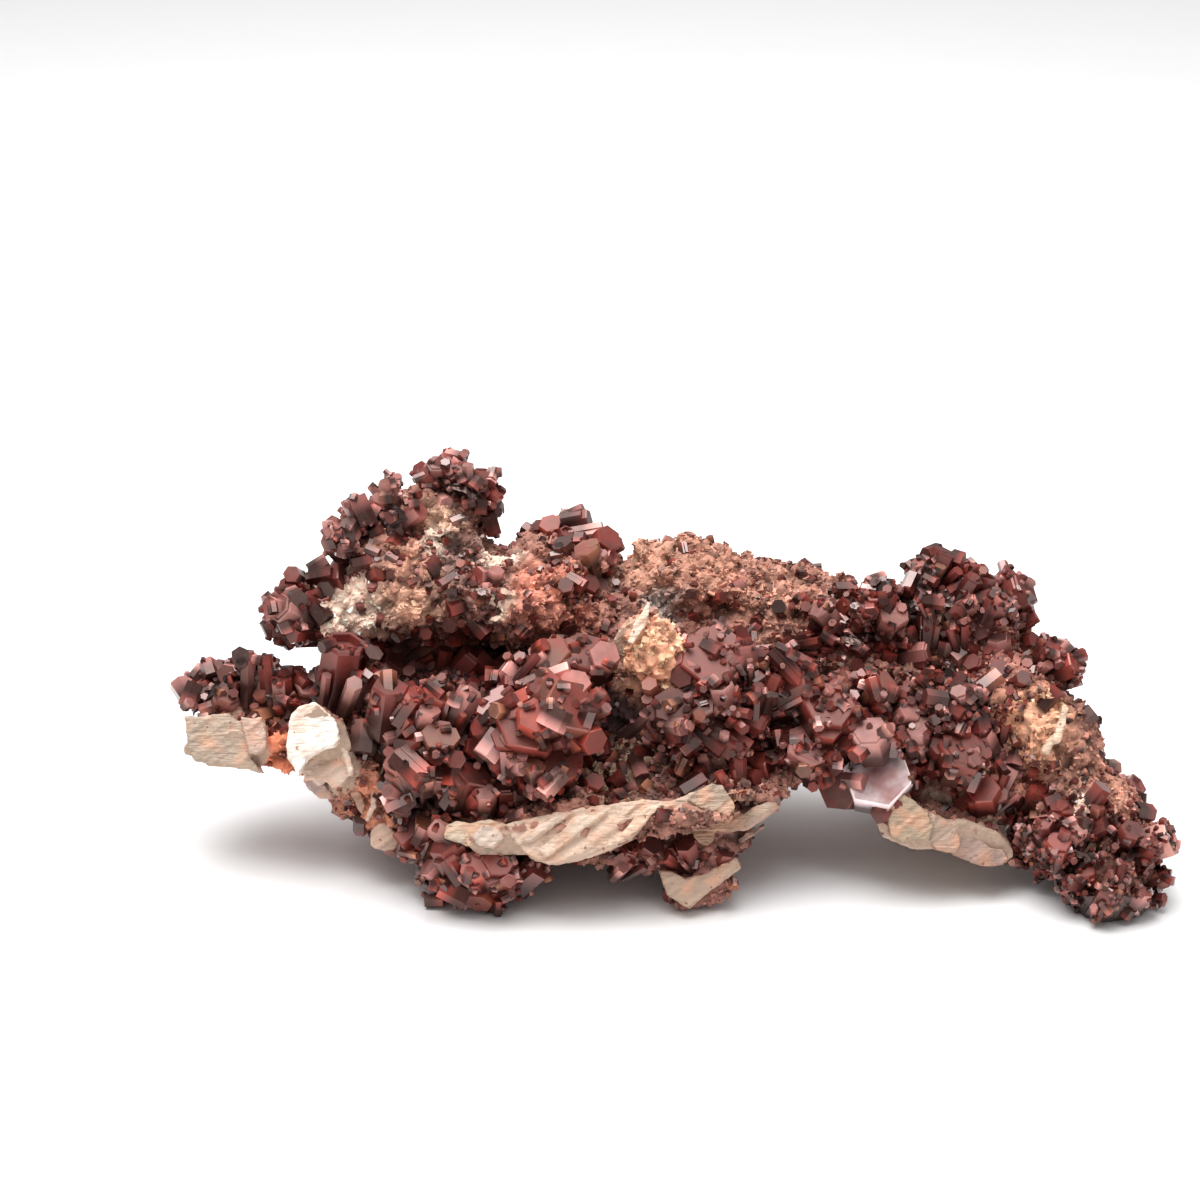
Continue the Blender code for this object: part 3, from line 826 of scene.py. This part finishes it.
LISTED_GLEAM = 0.7  # a listed crystal gleams this much at most, and a small one up to 1
YOUNG_RADII = (0.22, 0.6)  # of the crystal in whose foot they grew
YOUNG_LENGTHS = (0.6, 0.95)
SOWN_LENGTHS = (1.4, 3.2)  # of their own radii
SUNK = 0.56  # the share of a sown crystal's length that is in what it grew on
OPEN_ROOM = 4  # a crystal starts only where nothing else is over it within this
TRIES = 5  # places that are tried for each crystal that is asked for
CELL = 4  # crystals look for near ones in cells of this size
TIP_SPILL = 0.5  # how far a sown crystal's tip may be out of its group's box
MASS_POINTS = 0.6
MASS_SHRINK = 1.5  # how far the mass between a group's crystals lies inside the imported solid
MASS_LUMPS = (0.6, 1.5)

vanadinite = Finish("vanadinite", IOR=1.85, Specular_Tint=(1, 0.66, 0.6, 1), Coat_Roughness=0.1)
spot = vanadinite.node("TexCoord", out="Object")
clouding = vanadinite.noise(spot, 420, 3)
depths = vanadinite.noise(spot, 170, 2)
specks = vanadinite.noise(spot, 2600, 2)
stain = vanadinite.attribute("stain", "Color")
end = vanadinite.attribute("end", "Fac")
gleam = vanadinite.attribute("gleam", "Fac")
rise = vanadinite.attribute("rise", "Fac")
dusted = vanadinite.ramp(specks, (0.6, 0.0), (0.75, 1.0))
# Painted glow: patches of the ends are mixed to a deep red, as light shining through the crystal
painted_glow = vanadinite.ramp(depths, (0.48, 0.0), (0.68, 1.0))
flashing = vanadinite.ramp(gleam, (0.72, 0.0), (0.8, 1.0))
# Painted shade: each crystal is darker towards its foot, and the mass, which has no rise, darkest
painted_foot_shade = vanadinite.ramp(rise, (0.42, 0.1), (0.92, 1.0))
# Painted shade: the ends, which face the eye, are painted darker than the sides
shaded = vanadinite.scaled(stain, (0.75 + clouding * 1.1 - end * 0.75) * painted_foot_shade)
with_painted_glow = vanadinite.mixed(painted_glow * end * 0.8, shaded, (0.19, 0.013, 0.008, 1))
vanadinite.feed(
    Base_Color=vanadinite.mixed(dusted * 0.08, with_painted_glow, (0.5, 0.3, 0.24, 1)),
    Roughness=0.24 + end * 0.22 + clouding * 0.14 + dusted * 0.15,
    Coat_Weight=flashing * 0.9,
    Normal=vanadinite.bump(clouding + specks * 0.25, 0.45, 0.08 * MM),
)


def prism(steps=(), tops=(), bevel=0.05):
    """A six-sided prism that stands on its base, its end bevelled by so much. Steps are let into
    the end or raised on it: how far in, and how far up. Tops are others grown beside it: across,
    along, radius and height"""
    bm = bmesh.new()
    sides = {"cap_ends": True, "segments": 6, "radius1": 1, "radius2": 1, "depth": 1}
    bmesh.ops.create_cone(bm, matrix=Matrix.Translation((0, 0, 0.5)), **sides)
    end = max(bm.faces, key=lambda face: face.calc_center_median().z)
    edge = [(bevel, bevel)] if bevel else []
    for inset, rise in edge + list(steps):
        bmesh.ops.inset_region(bm, faces=[end], thickness=inset, depth=0)
        bmesh.ops.translate(bm, vec=(0, 0, rise), verts=end.verts)
    for across, along, radius, height in tops:
        matrix = Matrix.Translation((across, along, height / 2))
        matrix @= Matrix.Diagonal((radius, radius, height, 1))
        bmesh.ops.create_cone(bm, matrix=matrix, **sides)
    return small_shape(bm)


BIG_SHAPES = [
    prism(),
    prism(steps=[(0.16, 0.0), (0.04, 0.05)]),
    prism(steps=[(0.2, 0.0), (0.06, -0.12)]),
    prism(tops=[(0.5, 0.25, 0.62, 1.06)]),
    prism(tops=[(0.75, 0.1, 0.5, 0.86), (-0.35, 0.62, 0.55, 0.93)]),
]
SMALL_SHAPES = [
    prism(bevel=0),
    prism(bevel=0),
    prism(tops=[(0.6, 0.3, 0.6, 0.85)], bevel=0),
    prism(tops=[(0.3, -0.5, 0.7, 0.9)], bevel=0),
]

taken = {}


def crowded(place, radius, spacing):
    """Whether a crystal has others too near it. Where it has none, its place is then taken"""
    cell = tuple(int(value // (CELL * MM)) for value in place)
    for x in (-1, 0, 1):
        for y in (-1, 0, 1):
            for z in (-1, 0, 1):
                for other, reach in taken.get((cell[0] + x, cell[1] + y, cell[2] + z), ()):
                    if math.dist(place, other) < spacing * (radius + reach) * MM:
                        return True
    taken.setdefault(cell, []).append((tuple(place), radius))
    return False


def tinted(count, tints):
    """A colour for each crystal: dark red, and some brighter red, russet or dusty mauve"""
    red, dusty = tints
    share = dice.random((count, 1)) ** 2 * (0.2 + red)
    colours = np.array(DARK_RED) * (1 - share) + np.array(BRIGHT_RED) * share
    for other, often in ((RUSSET, 0.1 + red * 0.15), (DUSTY, dusty)):
        mix = (dice.random((count, 1)) < often) * dice.uniform(0.2, 0.9, (count, 1))
        colours = colours * (1 - mix) + np.array(other) * mix
    return np.clip(colours * dice.uniform(0.6, 1.4, (count, 1)), 0, 0.9)


def sight_and_axis(crystal):
    """The eye's line through a crystal's mark on the sheet, and the way the crystal points"""
    mark = SHEET + Vector((crystal.across, 0, 0)) + SHEET_UP * crystal.up
    lean = math.radians(crystal.lean)
    facing = math.radians(crystal.facing)
    sideways = Vector((math.sin(lean), 0, 0)) + SHEET_UP * math.cos(lean)
    return (mark - EYE).normalized(), sideways * math.cos(facing) + TOWARDS_EYE * math.sin(facing)


def set_listed(growth, tree, crystals, tints):
    """Puts each listed crystal where it shows on a surface, partly sunk in it, with a few
    young ones in its foot"""
    for row in crystals:
        crystal = Crystal(*row)
        line, axis = sight_and_axis(crystal)
        middle = tree.ray_cast(EYE * MM, line)[0]
        if middle is None:
            middle = tree.find_nearest(EYE * MM + line * 0.42)[0]
        middle = np.array(middle)
        crowded(middle, crystal.radius, 0)
        axis = np.array(axis)
        shape = BIG_SHAPES[0 if crystal.tint else int(dice.integers(len(BIG_SHAPES)))]
        size = np.array([[crystal.radius, crystal.radius, crystal.length]])
        sunk = 0.5 + 0.28 * math.sin(math.radians(crystal.facing))
        base = middle - axis * (crystal.length * sunk - crystal.out) * MM
        stain = tinted(1, tints) if crystal.tint is None else np.array([crystal.tint])
        growth.add(shape, base[None], axis[None], size, stain, dice.random(1) * LISTED_GLEAM)
        young = 2 + int(crystal.radius)
        around = dice.normal(size=(young, 3))
        around = unit(around - (around @ axis)[:, None] * axis)
        places = base + around * crystal.radius * dice.uniform(0.5, 1, (young, 1)) * MM
        radii = crystal.radius * dice.uniform(*YOUNG_RADII, young)
        lengths = crystal.length * dice.uniform(*YOUNG_LENGTHS, young)
        axes = unit(axis + around * 0.25 + dice.normal(size=(young, 3)) * 0.22)
        sizes = np.column_stack([radii, radii, lengths])
        growth.add(SMALL_SHAPES[0], places, axes, sizes, tinted(young, tints), dice.random(young))


def open_air(tree, places, normals):
    """Which points have nothing near over them"""
    free = []
    for place, normal in zip(places, normals):
        start = Vector(place + normal * 0.05 * MM)
        free.append(tree.ray_cast(start, Vector(normal), OPEN_ROOM * MM)[0] is None)
    return np.array(free, bool)


def sow(growth, surface, count, radii, shapes, tints, allowed, spread=1.0, spacing=0.8):
    """Grows crystals all over a surface wherever there is room, each along its own way out"""
    low, high = radii
    places, normals = surface.pick(count * TRIES)
    kept = allowed(places, normals)
    places, normals = places[kept], normals[kept]
    kept = open_air(surface.tree, places, normals)
    chosen = []
    for place, normal in zip(places[kept], normals[kept]):
        radius = low + (high - low) * dice.random() ** 1.8
        if not crowded(place, radius, spacing):
            chosen.append((place, normal, radius))
        if len(chosen) == count:
            break
    if not chosen:
        return
    places, normals, sizes = (np.array(part) for part in zip(*chosen))
    axes = unit(normals + spread * dice.normal(size=places.shape))
    lengths = sizes * dice.uniform(*SOWN_LENGTHS, len(places))
    places = places - axes * (lengths * SUNK * MM)[:, None]
    tips = places + axes * (lengths * MM)[:, None]
    spill = TIP_SPILL * MM
    kept = ((tips > growth.low - spill) & (tips < growth.high + spill)).all(axis=1)
    places, axes, sizes, lengths = places[kept], axes[kept], sizes[kept], lengths[kept]
    kinds = dice.integers(len(shapes), size=len(places))
    stains_and_shade = tinted(len(places), tints)
    for kind, shape in enumerate(shapes):
        mine = kinds == kind
        size = np.column_stack([sizes, sizes, lengths])[mine]
        growth.add(shape, places[mine], axes[mine], size, stains_and_shade[mine], dice.random(mine.sum()))


# Patches that crystals stay off: a place and how far it reaches
CLEAR = [
    ((-3, -8, 35.5), 6), ((-2.5, -9.5, 31.5), 4.6), ((-49, 0.5, 38), 5.4),
    ((-7, -4.5, 39), 2.5), ((-42, 0, 39.5), 3.5),
    ((-4, 13, 44), 4), ((8, 11, 43), 4), ((17, 11, 39.5), 4),
    ((30, -15.5, 18.5), 5), ((25, -15, 13.5), 5), ((17, -11, 28), 4.5), ((-7, -9, 26), 4),
    ((66, -14, 17), 3.5), ((-26, 8, 44.5), 3), ((-35.5, 10, 51), 2.5),
]


def in_clear(places):
    """Which places are in those patches, but for a few"""
    clear = np.zeros(len(places), bool)
    for at, reach in CLEAR:
        clear |= np.linalg.norm(places / MM - at, axis=1) < reach
    return clear & (dice.random(len(places)) < 0.93)


def out_of_rock(places, normals):
    """Which places on a group are neither inside the rock nor in a clear patch"""
    kept = ~buried(rock_surface.tree, places, 0.2) & (places[:, 2] > 0.4 * MM)
    return kept & ~in_clear(places)


def grow_group(part, crystals, counts, tints, medium=(0.9, 1.8), small=(0.4, 0.85)):
    """A group's listed crystals, and so many medium and small ones sown between them, all out
    of one mass that is painted near black as the shade between them. Its tints are how red
    and how dusty it is"""
    node = f"vanadinite_{part}"
    mass = add_piece(f"{part}_crystals_mass", merged(node))
    remesh(mass, MASS_POINTS)
    shrink = mass.modifiers.new("shrink", "DISPLACE")
    shrink.strength = -MASS_SHRINK * MM
    shrink.mid_level = 0
    height, breadth = MASS_LUMPS
    roughen(mass, "CLOUDS", height, breadth)
    settle(mass)
    growth = Growth(*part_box(node))
    # Painted shade: the mass between the crystals is near black, as the shade in the gaps between
    # them
    growth.add_mesh(mass.data, np.tile(np.array(DARK_RED) * 0.25, (len(mass.data.vertices), 1)))
    set_listed(growth, growth.surface().tree, crystals, tints)
    taken.clear()
    shapes = BIG_SHAPES[:1] + SMALL_SHAPES
    sow(growth, growth.surface(), counts[0], medium, shapes, tints, out_of_rock)
    sow(growth, growth.surface(), counts[1], small, SMALL_SHAPES, tints, out_of_rock)
    bpy.data.objects.remove(mass)
    piece = growth.piece(f"{part}_crystals", vanadinite)
    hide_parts(node)


grow_group("arm", [
    (-72, 33, 2.3, 6, -40, 50), (-67.5, 36, 2.2, 5, 10, 70), (-64, 35, 1.3, 8, 3, 12),
    (-61, 34, 1.25, 9, -6, 8), (-67.5, 31.5, 1.8, 5, 30, 40), (-56.5, 35.5, 1, 3, 20, 30),
    (-55.5, 33.5, 2, 5, 40, 55), (-58.5, 32, 1.4, 4, -20, 30), (-70, 31.5, 1.7, 4, -60, 30),
], (70, 200), (0.5, 0.4))

# Crystals at the left edge of the upper mass, and in the notch under it, where one is about a
# centimetre long. They grew outwards from the side of the rock.

grow_group("edge", [
    (-57.5, 45, 2.6, 6, -60, 40), (-59.5, 45.5, 1.5, 4, -80, 20), (-57.5, 48.5, 1.6, 4, -40, 40),
    (-55.5, 49, 1.6, 4, 20, 50), (-56, 39.5, 2, 6, -35, 25),
], (30, 110), (0.3, 0.3))
grow_group("notch", [
    (-50, 37, 3.4, 10, 12, 30), (-45.5, 35, 2, 5, 70, 20), (-46, 31, 1.9, 6, -10, 30),
], (40, 120), (0.35, 0.3))

# Blunt dusty crystals that grew into a mauve crust on the left shoulder, and the darker ones
# that crown the peak.

grow_group("shoulder", [
    (-42.5, 62.5, 1.4, 5, -10, 15), (-41, 63, 1.3, 5, 10, 25), (-47.5, 60, 2, 5, -20, 45),
    (-50.5, 56.5, 1.4, 4, -70, 20), (-49, 54.5, 1.9, 5, -60, 40), (-46.5, 59.5, 1.5, 4, 15, 50),
    (-44.5, 61, 1.4, 4, 20, 40), (-48.5, 58, 1.6, 4, -50, 45), (-45, 57.5, 1.8, 4, -10, 60),
], (60, 220), (0.4, 0.95))
grow_group("peak", [
    (-35.5, 66.5, 1.7, 4, -10, 55), (-33.5, 65.5, 1.5, 4, 10, 65), (-30, 66.5, 1.2, 4, 30, 20),
    (-29, 64, 1.5, 5, 5, 15), (-27.5, 62, 1.3, 4, 50, 30), (-31.5, 65, 1.2, 4, 0, 60),
    (-37, 65, 1.3, 4, -40, 40), (-32.5, 67.5, 1.3, 4, 50, 30),
], (50, 170), (0.3, 0.5))

# The front cluster: the largest crystals of the specimen nested at its right, redder and
# rougher ones at its left, and small ones down to the left foot.

grow_group("front", [
    (-22.5, 38.5, 1.9, 9, 62, 20), (-13.5, 38, 4.7, 4, 5, 35), (-19.5, 35, 1.4, 8, 70, 8),
    (-18, 38, 3, 5, -30, 50), (-24.5, 30.5, 2.2, 8, 65, 12), (-22.5, 27.5, 4.4, 6, 20, 62),
    (-16.5, 30, 4.6, 7, 50, 45), (-13.5, 30.5, 1.7, 7, 55, 10), (-18.5, 22, 4.2, 6, 30, 58),
    (-18.5, 19, 2, 8, 54, 8), (-21.5, 20.5, 3.4, 6, 15, 60), (-23, 24.5, 2.7, 7, 10, 30),
    (-40.5, 21.5, 2.8, 6, -20, 40), (-43, 31, 2.9, 8, 10, 28), (-37.5, 31, 2.7, 7, 40, 22),
    (-35.5, 26, 2.7, 5, 20, 60), (-27.5, 20, 2.4, 6, 10, 55), (-31, 19, 2.9, 6, 30, 30),
    (-35, 20.5, 3, 6, -10, 50), (-32, 30.5, 2, 7, 30, 20), (-42.5, 26.5, 1.8, 5, 0, 55),
    (-11.5, 26.5, 2.6, 6, 80, 30), (-27.5, 33.5, 1.5, 6, -35, 20), (-29, 26.5, 2.2, 6, 20, 50),
    (-15, 33.5, 2.2, 6, 20, 50), (-38, 28, 1.6, 5, 70, 20), (-29.5, 6.5, 2.7, 5, -10, 60),
    (-26.5, 7, 2.5, 5, 15, 60), (-33.5, 8.5, 2.5, 6, -30, 30), (-37.5, 12, 1.8, 5, 10, 30),
    (-38, 9.5, 1.7, 5, 80, 15), (-31.5, 2.5, 1.2, 4, 50, 15), (-34.5, 2.5, 1.4, 4, -40, 30),
    (-24, 5, 1.8, 5, 40, 40), (-21.5, 6.5, 1.5, 4, 60, 30), (-36, 6, 1.6, 4, -50, 35),
    (-27, 2.5, 1.3, 4, 0, 40), (-35, 33.5, 1.5, 5, -20, 30), (-39, 33.5, 2, 6, -30, 30),
], (200, 1000), (0.6, 0.3), medium=(1.0, 2.5))

# The large bright-sided crystals across the middle and down the right slope, which grew on into
# each other, with the broad plate over the arch, whose pale mauve is a painted sheen.

grow_group("centre", [
    (5.5, 37.5, 5.1, 5, 10, 58), (11, 37, 1.6, 6, -10, 8), (3, 39, 1.5, 6, 88, 6),
    (2.5, 36.5, 1.2, 4, 20, 40), (14, 39, 1.4, 5, 100, 8), (17, 36.5, 1.4, 7, 137, 6),
    (14, 32, 1.5, 7, 25, 6), (7.5, 32, 2.1, 8, -18, 38), (11, 29, 2, 6, 115, 15),
    (-2.5, 27, 2.6, 5, 0, 70), (-0.5, 30.5, 3.1, 5, 20, 68), (3.5, 30.5, 2.8, 5, -10, 58),
    (7, 25.5, 2.4, 8, 122, 8), (9.5, 23, 1.5, 5, 75, 8), (2.5, 26, 2.3, 5, 10, 72),
    (19, 33.5, 2.4, 6, 60, 35), (16, 26.5, 2.6, 6, 40, 40), (18.5, 23, 2.2, 6, 20, 40),
    (23, 30.5, 4.1, 5, 10, 58), (26, 29.5, 1.4, 5, -10, 10), (29.5, 26, 3.1, 5, -20, 48),
    (23, 25, 1.3, 4, 30, 15), (20.5, 24.5, 4.1, 5, 0, 55), (22.5, 23, 1.3, 4, 80, 10),
    (30.5, 19.5, 5.3, 5, -15, 66, MAUVE_PAINTED_SHEEN, 1.8), (40, 20.5, 2.8, 5, -20, 58),
    (43, 23.5, 4.1, 5, 20, 50), (41.5, 30.5, 1.2, 4, 125, 15), (44, 33, 1.3, 5, 105, 8),
    (47, 33, 1.1, 4, 125, 20), (41.5, 27, 1.2, 5, 88, 5), (36.5, 28.5, 1.3, 5, 105, 10),
    (38.5, 31.5, 1.2, 4, 120, 20), (36.5, 26, 1.7, 5, -10, 40), (27.5, 35.5, 1.1, 3, 30, 40),
    (37.5, 34.5, 1.1, 3, 60, 30), (30.5, 33.5, 2.4, 5, 30, 50), (35, 24, 2.2, 6, 20, 40),
    (34.5, 29.5, 2, 5, 40, 45), (46.5, 26, 1.9, 5, -30, 40), (24.5, 35, 2.4, 6, 10, 50),
], (260, 1700), (0.25, 0.3), medium=(0.8, 1.5))

# Crystals along the right ridge, packed close and mostly small, and the knob of a few larger
# ones at its end. They stand out of the rock on all sides.

grow_group("ridge", [
    (32.5, 44, 2.5, 5, 20, 55), (25, 40, 1.6, 8, 110, 6), (38, 45.5, 1.1, 4, -10, 10),
    (33.5, 41.5, 1.2, 5, 125, 8), (40, 52, 1.9, 5, 25, 20), (37.5, 51.5, 1.7, 5, -30, 30),
    (46, 48.5, 1.8, 5, 20, 20), (50, 47.5, 2.6, 5, 0, 45), (30.5, 47, 2, 5, -20, 50),
    (26, 45.5, 2.2, 6, 40, 40), (46.5, 42.5, 1.8, 5, 10, 40), (43.5, 45.5, 1.6, 5, 60, 20),
    (48.5, 45.5, 1.6, 5, 30, 30), (23, 44, 1.9, 6, -40, 30), (44, 48.5, 1.5, 5, 30, 30),
    (29.5, 49.5, 2.5, 5, 20, 42), (32, 49.5, 1.1, 4, 0, 10), (51.5, 47, 3.2, 6, 50, 30),
], (150, 900), (0.2, 0.3), medium=(0.8, 1.5))
grow_group("knob", [
    (56, 38, 2.7, 6, 20, 30), (58.5, 36.5, 2.1, 5, 60, 30), (57, 35, 1.8, 5, 0, 50),
    (60, 33.5, 1.6, 5, 70, 30),
], (30, 110), (0.4, 0.3))

# The small dark crystals that cover the leg at the right, all round and down to where it
# stands.

grow_group("leg", [
    (72.5, 10.5, 3, 5, 70, 25), (57.5, 9.5, 1.9, 5, 0, 45), (66.5, 8, 1.1, 4, 120, 15),
    (69, 7, 1.1, 4, 30, 20), (67, 5, 1.1, 5, 10, 5), (68.5, 4, 1.2, 5, 12, 5),
    (53.5, 14.5, 1.2, 4, 0, 30), (64.5, 2, 1.7, 5, 20, 45), (72, 4.5, 1.5, 5, 60, 20),
    (55.5, 12.5, 1.6, 4, -20, 40), (60, 11.5, 1.7, 5, 10, 40), (69.5, 2, 1.4, 4, 30, 30),
    (60, 4, 1.3, 4, -60, 30), (51.5, 9.5, 1.4, 4, -40, 30), (68, 11.5, 1.8, 5, 20, 50),
    (51, 12.5, 1.5, 4, -10, 40),
], (170, 1400), (0.2, 0.3), medium=(0.55, 1.0), small=(0.3, 0.6))

# Crystals that grew on the rock itself: dark prisms in the deep hollow, small bright ones down
# the right slope, and scattered ones over the crust, the underside of the ledge and the back.

# Where they are thick: a place and how far it reaches
THICK = [
    ((-34, 2, 28), 10), ((-14, 8, 43), 6), ((38, -2, 30), 13), ((24, 2, 33), 8), ((47, 5, 36), 8),
    ((50, -13, 15), 7), ((60, -18, 12), 7), ((68, -12, 12), 7), ((-2, -14, 8), 8),
    ((-46, 6, 45), 6), ((-42, -12, 10), 6), ((-24, 18, 34), 9), ((20, 20, 24), 10),
    ((58, 10, 22), 9), ((-40, 18, 20), 8), ((-8, -13, 19), 7), ((6, -17, 19), 6),
    ((-30, 4, 42), 5), ((-60, -3, 24), 6), ((46, -6, 28), 7),
]


def thick_on_rock(places, normals):
    """Which places on the rock crystals took to: few of them out of the thick patches"""
    chance = np.full(len(places), 0.12)
    for at, reach in THICK:
        distance = np.linalg.norm(places / MM - at, axis=1)
        chance = np.maximum(chance, np.clip(1.5 - distance / reach, 0, 1))
    kept = (dice.random(len(places)) < chance) & (places[:, 2] > 0.5 * MM)
    kept &= (in_bare(places, normals) < 0.2) & ~in_clear(places)
    kept[kept] = ~buried(group_tree, places[kept], 0)
    kept[kept] = ~near_leaves(places[kept], 0.8)
    return kept


on_rock = Growth()
set_listed(on_rock, rock_surface.tree, [
    (-51.5, 50, 2.4, 5, 80, 20), (-57, 42, 1, 5, -80, 10), (-44.5, 39, 1.4, 4, -10, 30),
    (-53, 47, 1.4, 3, 10, 50), (-14.5, 58.5, 1.8, 4, 80, 15), (-13, 56.5, 1.6, 5, 80, 10),
    (-10.5, 55.5, 2.3, 4, 50, 45), (-13, 53.5, 2.1, 4, -20, 35), (-18.5, 57.5, 1.9, 4, -10, 50),
    (-16.5, 56, 1.5, 4, 30, 40), (-10.5, 53, 1.5, 4, 80, 30), (-47, 27.5, 1.5, 5, -50, 40),
    (-25.5, 17, 2, 5, 0, 30), (-33.5, 17, 1.8, 5, -20, 35), (-32, 36, 2.3, 8, 40, 20),
    (-41.5, 36, 2.5, 6, 20, 40), (-37, 39, 2, 7, 50, 12), (-33.5, 39.5, 1.3, 5, 0, 10),
    (-28.5, 36.5, 2.2, 7, -40, 25), (-5, 28, 1.4, 7, 50, 8), (9.5, 20, 1.3, 6, 0, 5),
    (5, 21.5, 1.7, 6, -8, 15), (13, 22, 2.2, 5, 90, 35), (12, 23, 1, 4, 100, 15),
    (20.5, 39.5, 1.4, 5, 95, 6), (42, 41, 1.2, 6, -22, 6), (38, 42.5, 1.4, 5, 0, 15),
    (49, 18.5, 1.5, 7, 25, 8), (46.5, 17.5, 2.6, 5, -20, 50), (35.5, 38.5, 1.8, 6, 80, 25),
    (48.5, 39.5, 1.7, 5, -10, 30), (58, 14.5, 1.6, 5, 20, 40), (62, 5, 1.5, 5, -20, 40),
    (71, 14, 1.7, 5, 50, 30), (63.5, 12.5, 1.5, 4, 60, 30), (54, 17.5, 1.6, 5, 30, 40),
    (-18.5, 6.5, 1.6, 4, 40, 45, MAGENTA_RED), (-7.5, 8, 1.5, 5, 30, 30),
    (-4, 9.5, 1.8, 5, 40, 50), (2, 9, 1.7, 5, -20, 40), (7, 7.5, 1.6, 5, 20, 30),
    (54, 43, 1.1, 5, 60, 10), (70.5, 21.5, 1.9, 5, 50, 30),
], (0.2, 0.3))
taken.clear()
sow(on_rock, rock_surface, 500, (0.9, 1.6), SMALL_SHAPES, (0.25, 0.3), thick_on_rock)
sow(on_rock, rock_surface, 4200, (0.35, 0.8), SMALL_SHAPES, (0.25, 0.3), thick_on_rock)
scattered = on_rock.piece("crystals_on_rock", vanadinite)

# The specimen stands on a plain white table in a white room, under a soft lamp a little to its
# left and a pale ceiling. It is seen from the front, from 25 degrees above the table.

# Each lamp's place, side and strength
LAMPS = {"softbox": ((-0.05, 0.02, 0.5), 0.42, 3.3), "ceiling": ((0, 0.1, 1.1), 1.8, 11)}
ROOM = 0.38  # how much the room lights the specimen, beside how white it looks
TABLE_HALF = 0.8
VIEW_HEIGHT = 25

top = bmesh.new()
bmesh.ops.create_grid(top, x_segments=1, y_segments=1, size=TABLE_HALF)
table = add_piece("table", top)
white = Finish("white_table", Roughness=0.6)
grain = white.noise(white.node("TexCoord", out="Object"), 40, 2)
paper = white.node("CombineXYZ", None, {0: 0.9, 1: 0.9, 2: 0.9})
white.feed(Base_Color=white.scaled(paper, 0.99 + grain * 0.02))
table.data.materials.append(white.material)

for name, (place, side, watts) in LAMPS.items():
    lamp = bpy.data.lights.new(name, "AREA")
    lamp.size = side
    lamp.energy = watts
    hung = bpy.data.objects.new(name, lamp)
    hung.location = place
    hung.rotation_euler = (-Vector(place)).to_track_quat("-Z", "Y").to_euler()
    bpy.context.scene.collection.objects.link(hung)

world = bpy.data.worlds.new("white_room")
world.use_nodes = True
bpy.context.scene.world = world
nodes = world.node_tree.nodes
seen = nodes.new("ShaderNodeLightPath")
strength = nodes.new("ShaderNodeMapRange")
strength.inputs["To Min"].default_value = ROOM
strength.inputs["To Max"].default_value = 1.0
world.node_tree.links.new(seen.outputs["Is Camera Ray"], strength.inputs["Value"])
world.node_tree.links.new(strength.outputs["Result"], nodes["Background"].inputs["Strength"])
nodes["Background"].inputs["Color"].default_value = (1, 1, 1, 1)
bpy.context.scene.view_settings.view_transform = "Standard"

camera = bpy.data.cameras.new("camera")
camera.lens = 80
camera.sensor_width = 36
eye = bpy.data.objects.new("camera", camera)
eye.location = EYE * MM
eye.rotation_euler = (math.radians(90 - VIEW_HEIGHT), 0, 0)
bpy.context.scene.collection.objects.link(eye)
bpy.context.scene.camera = eye
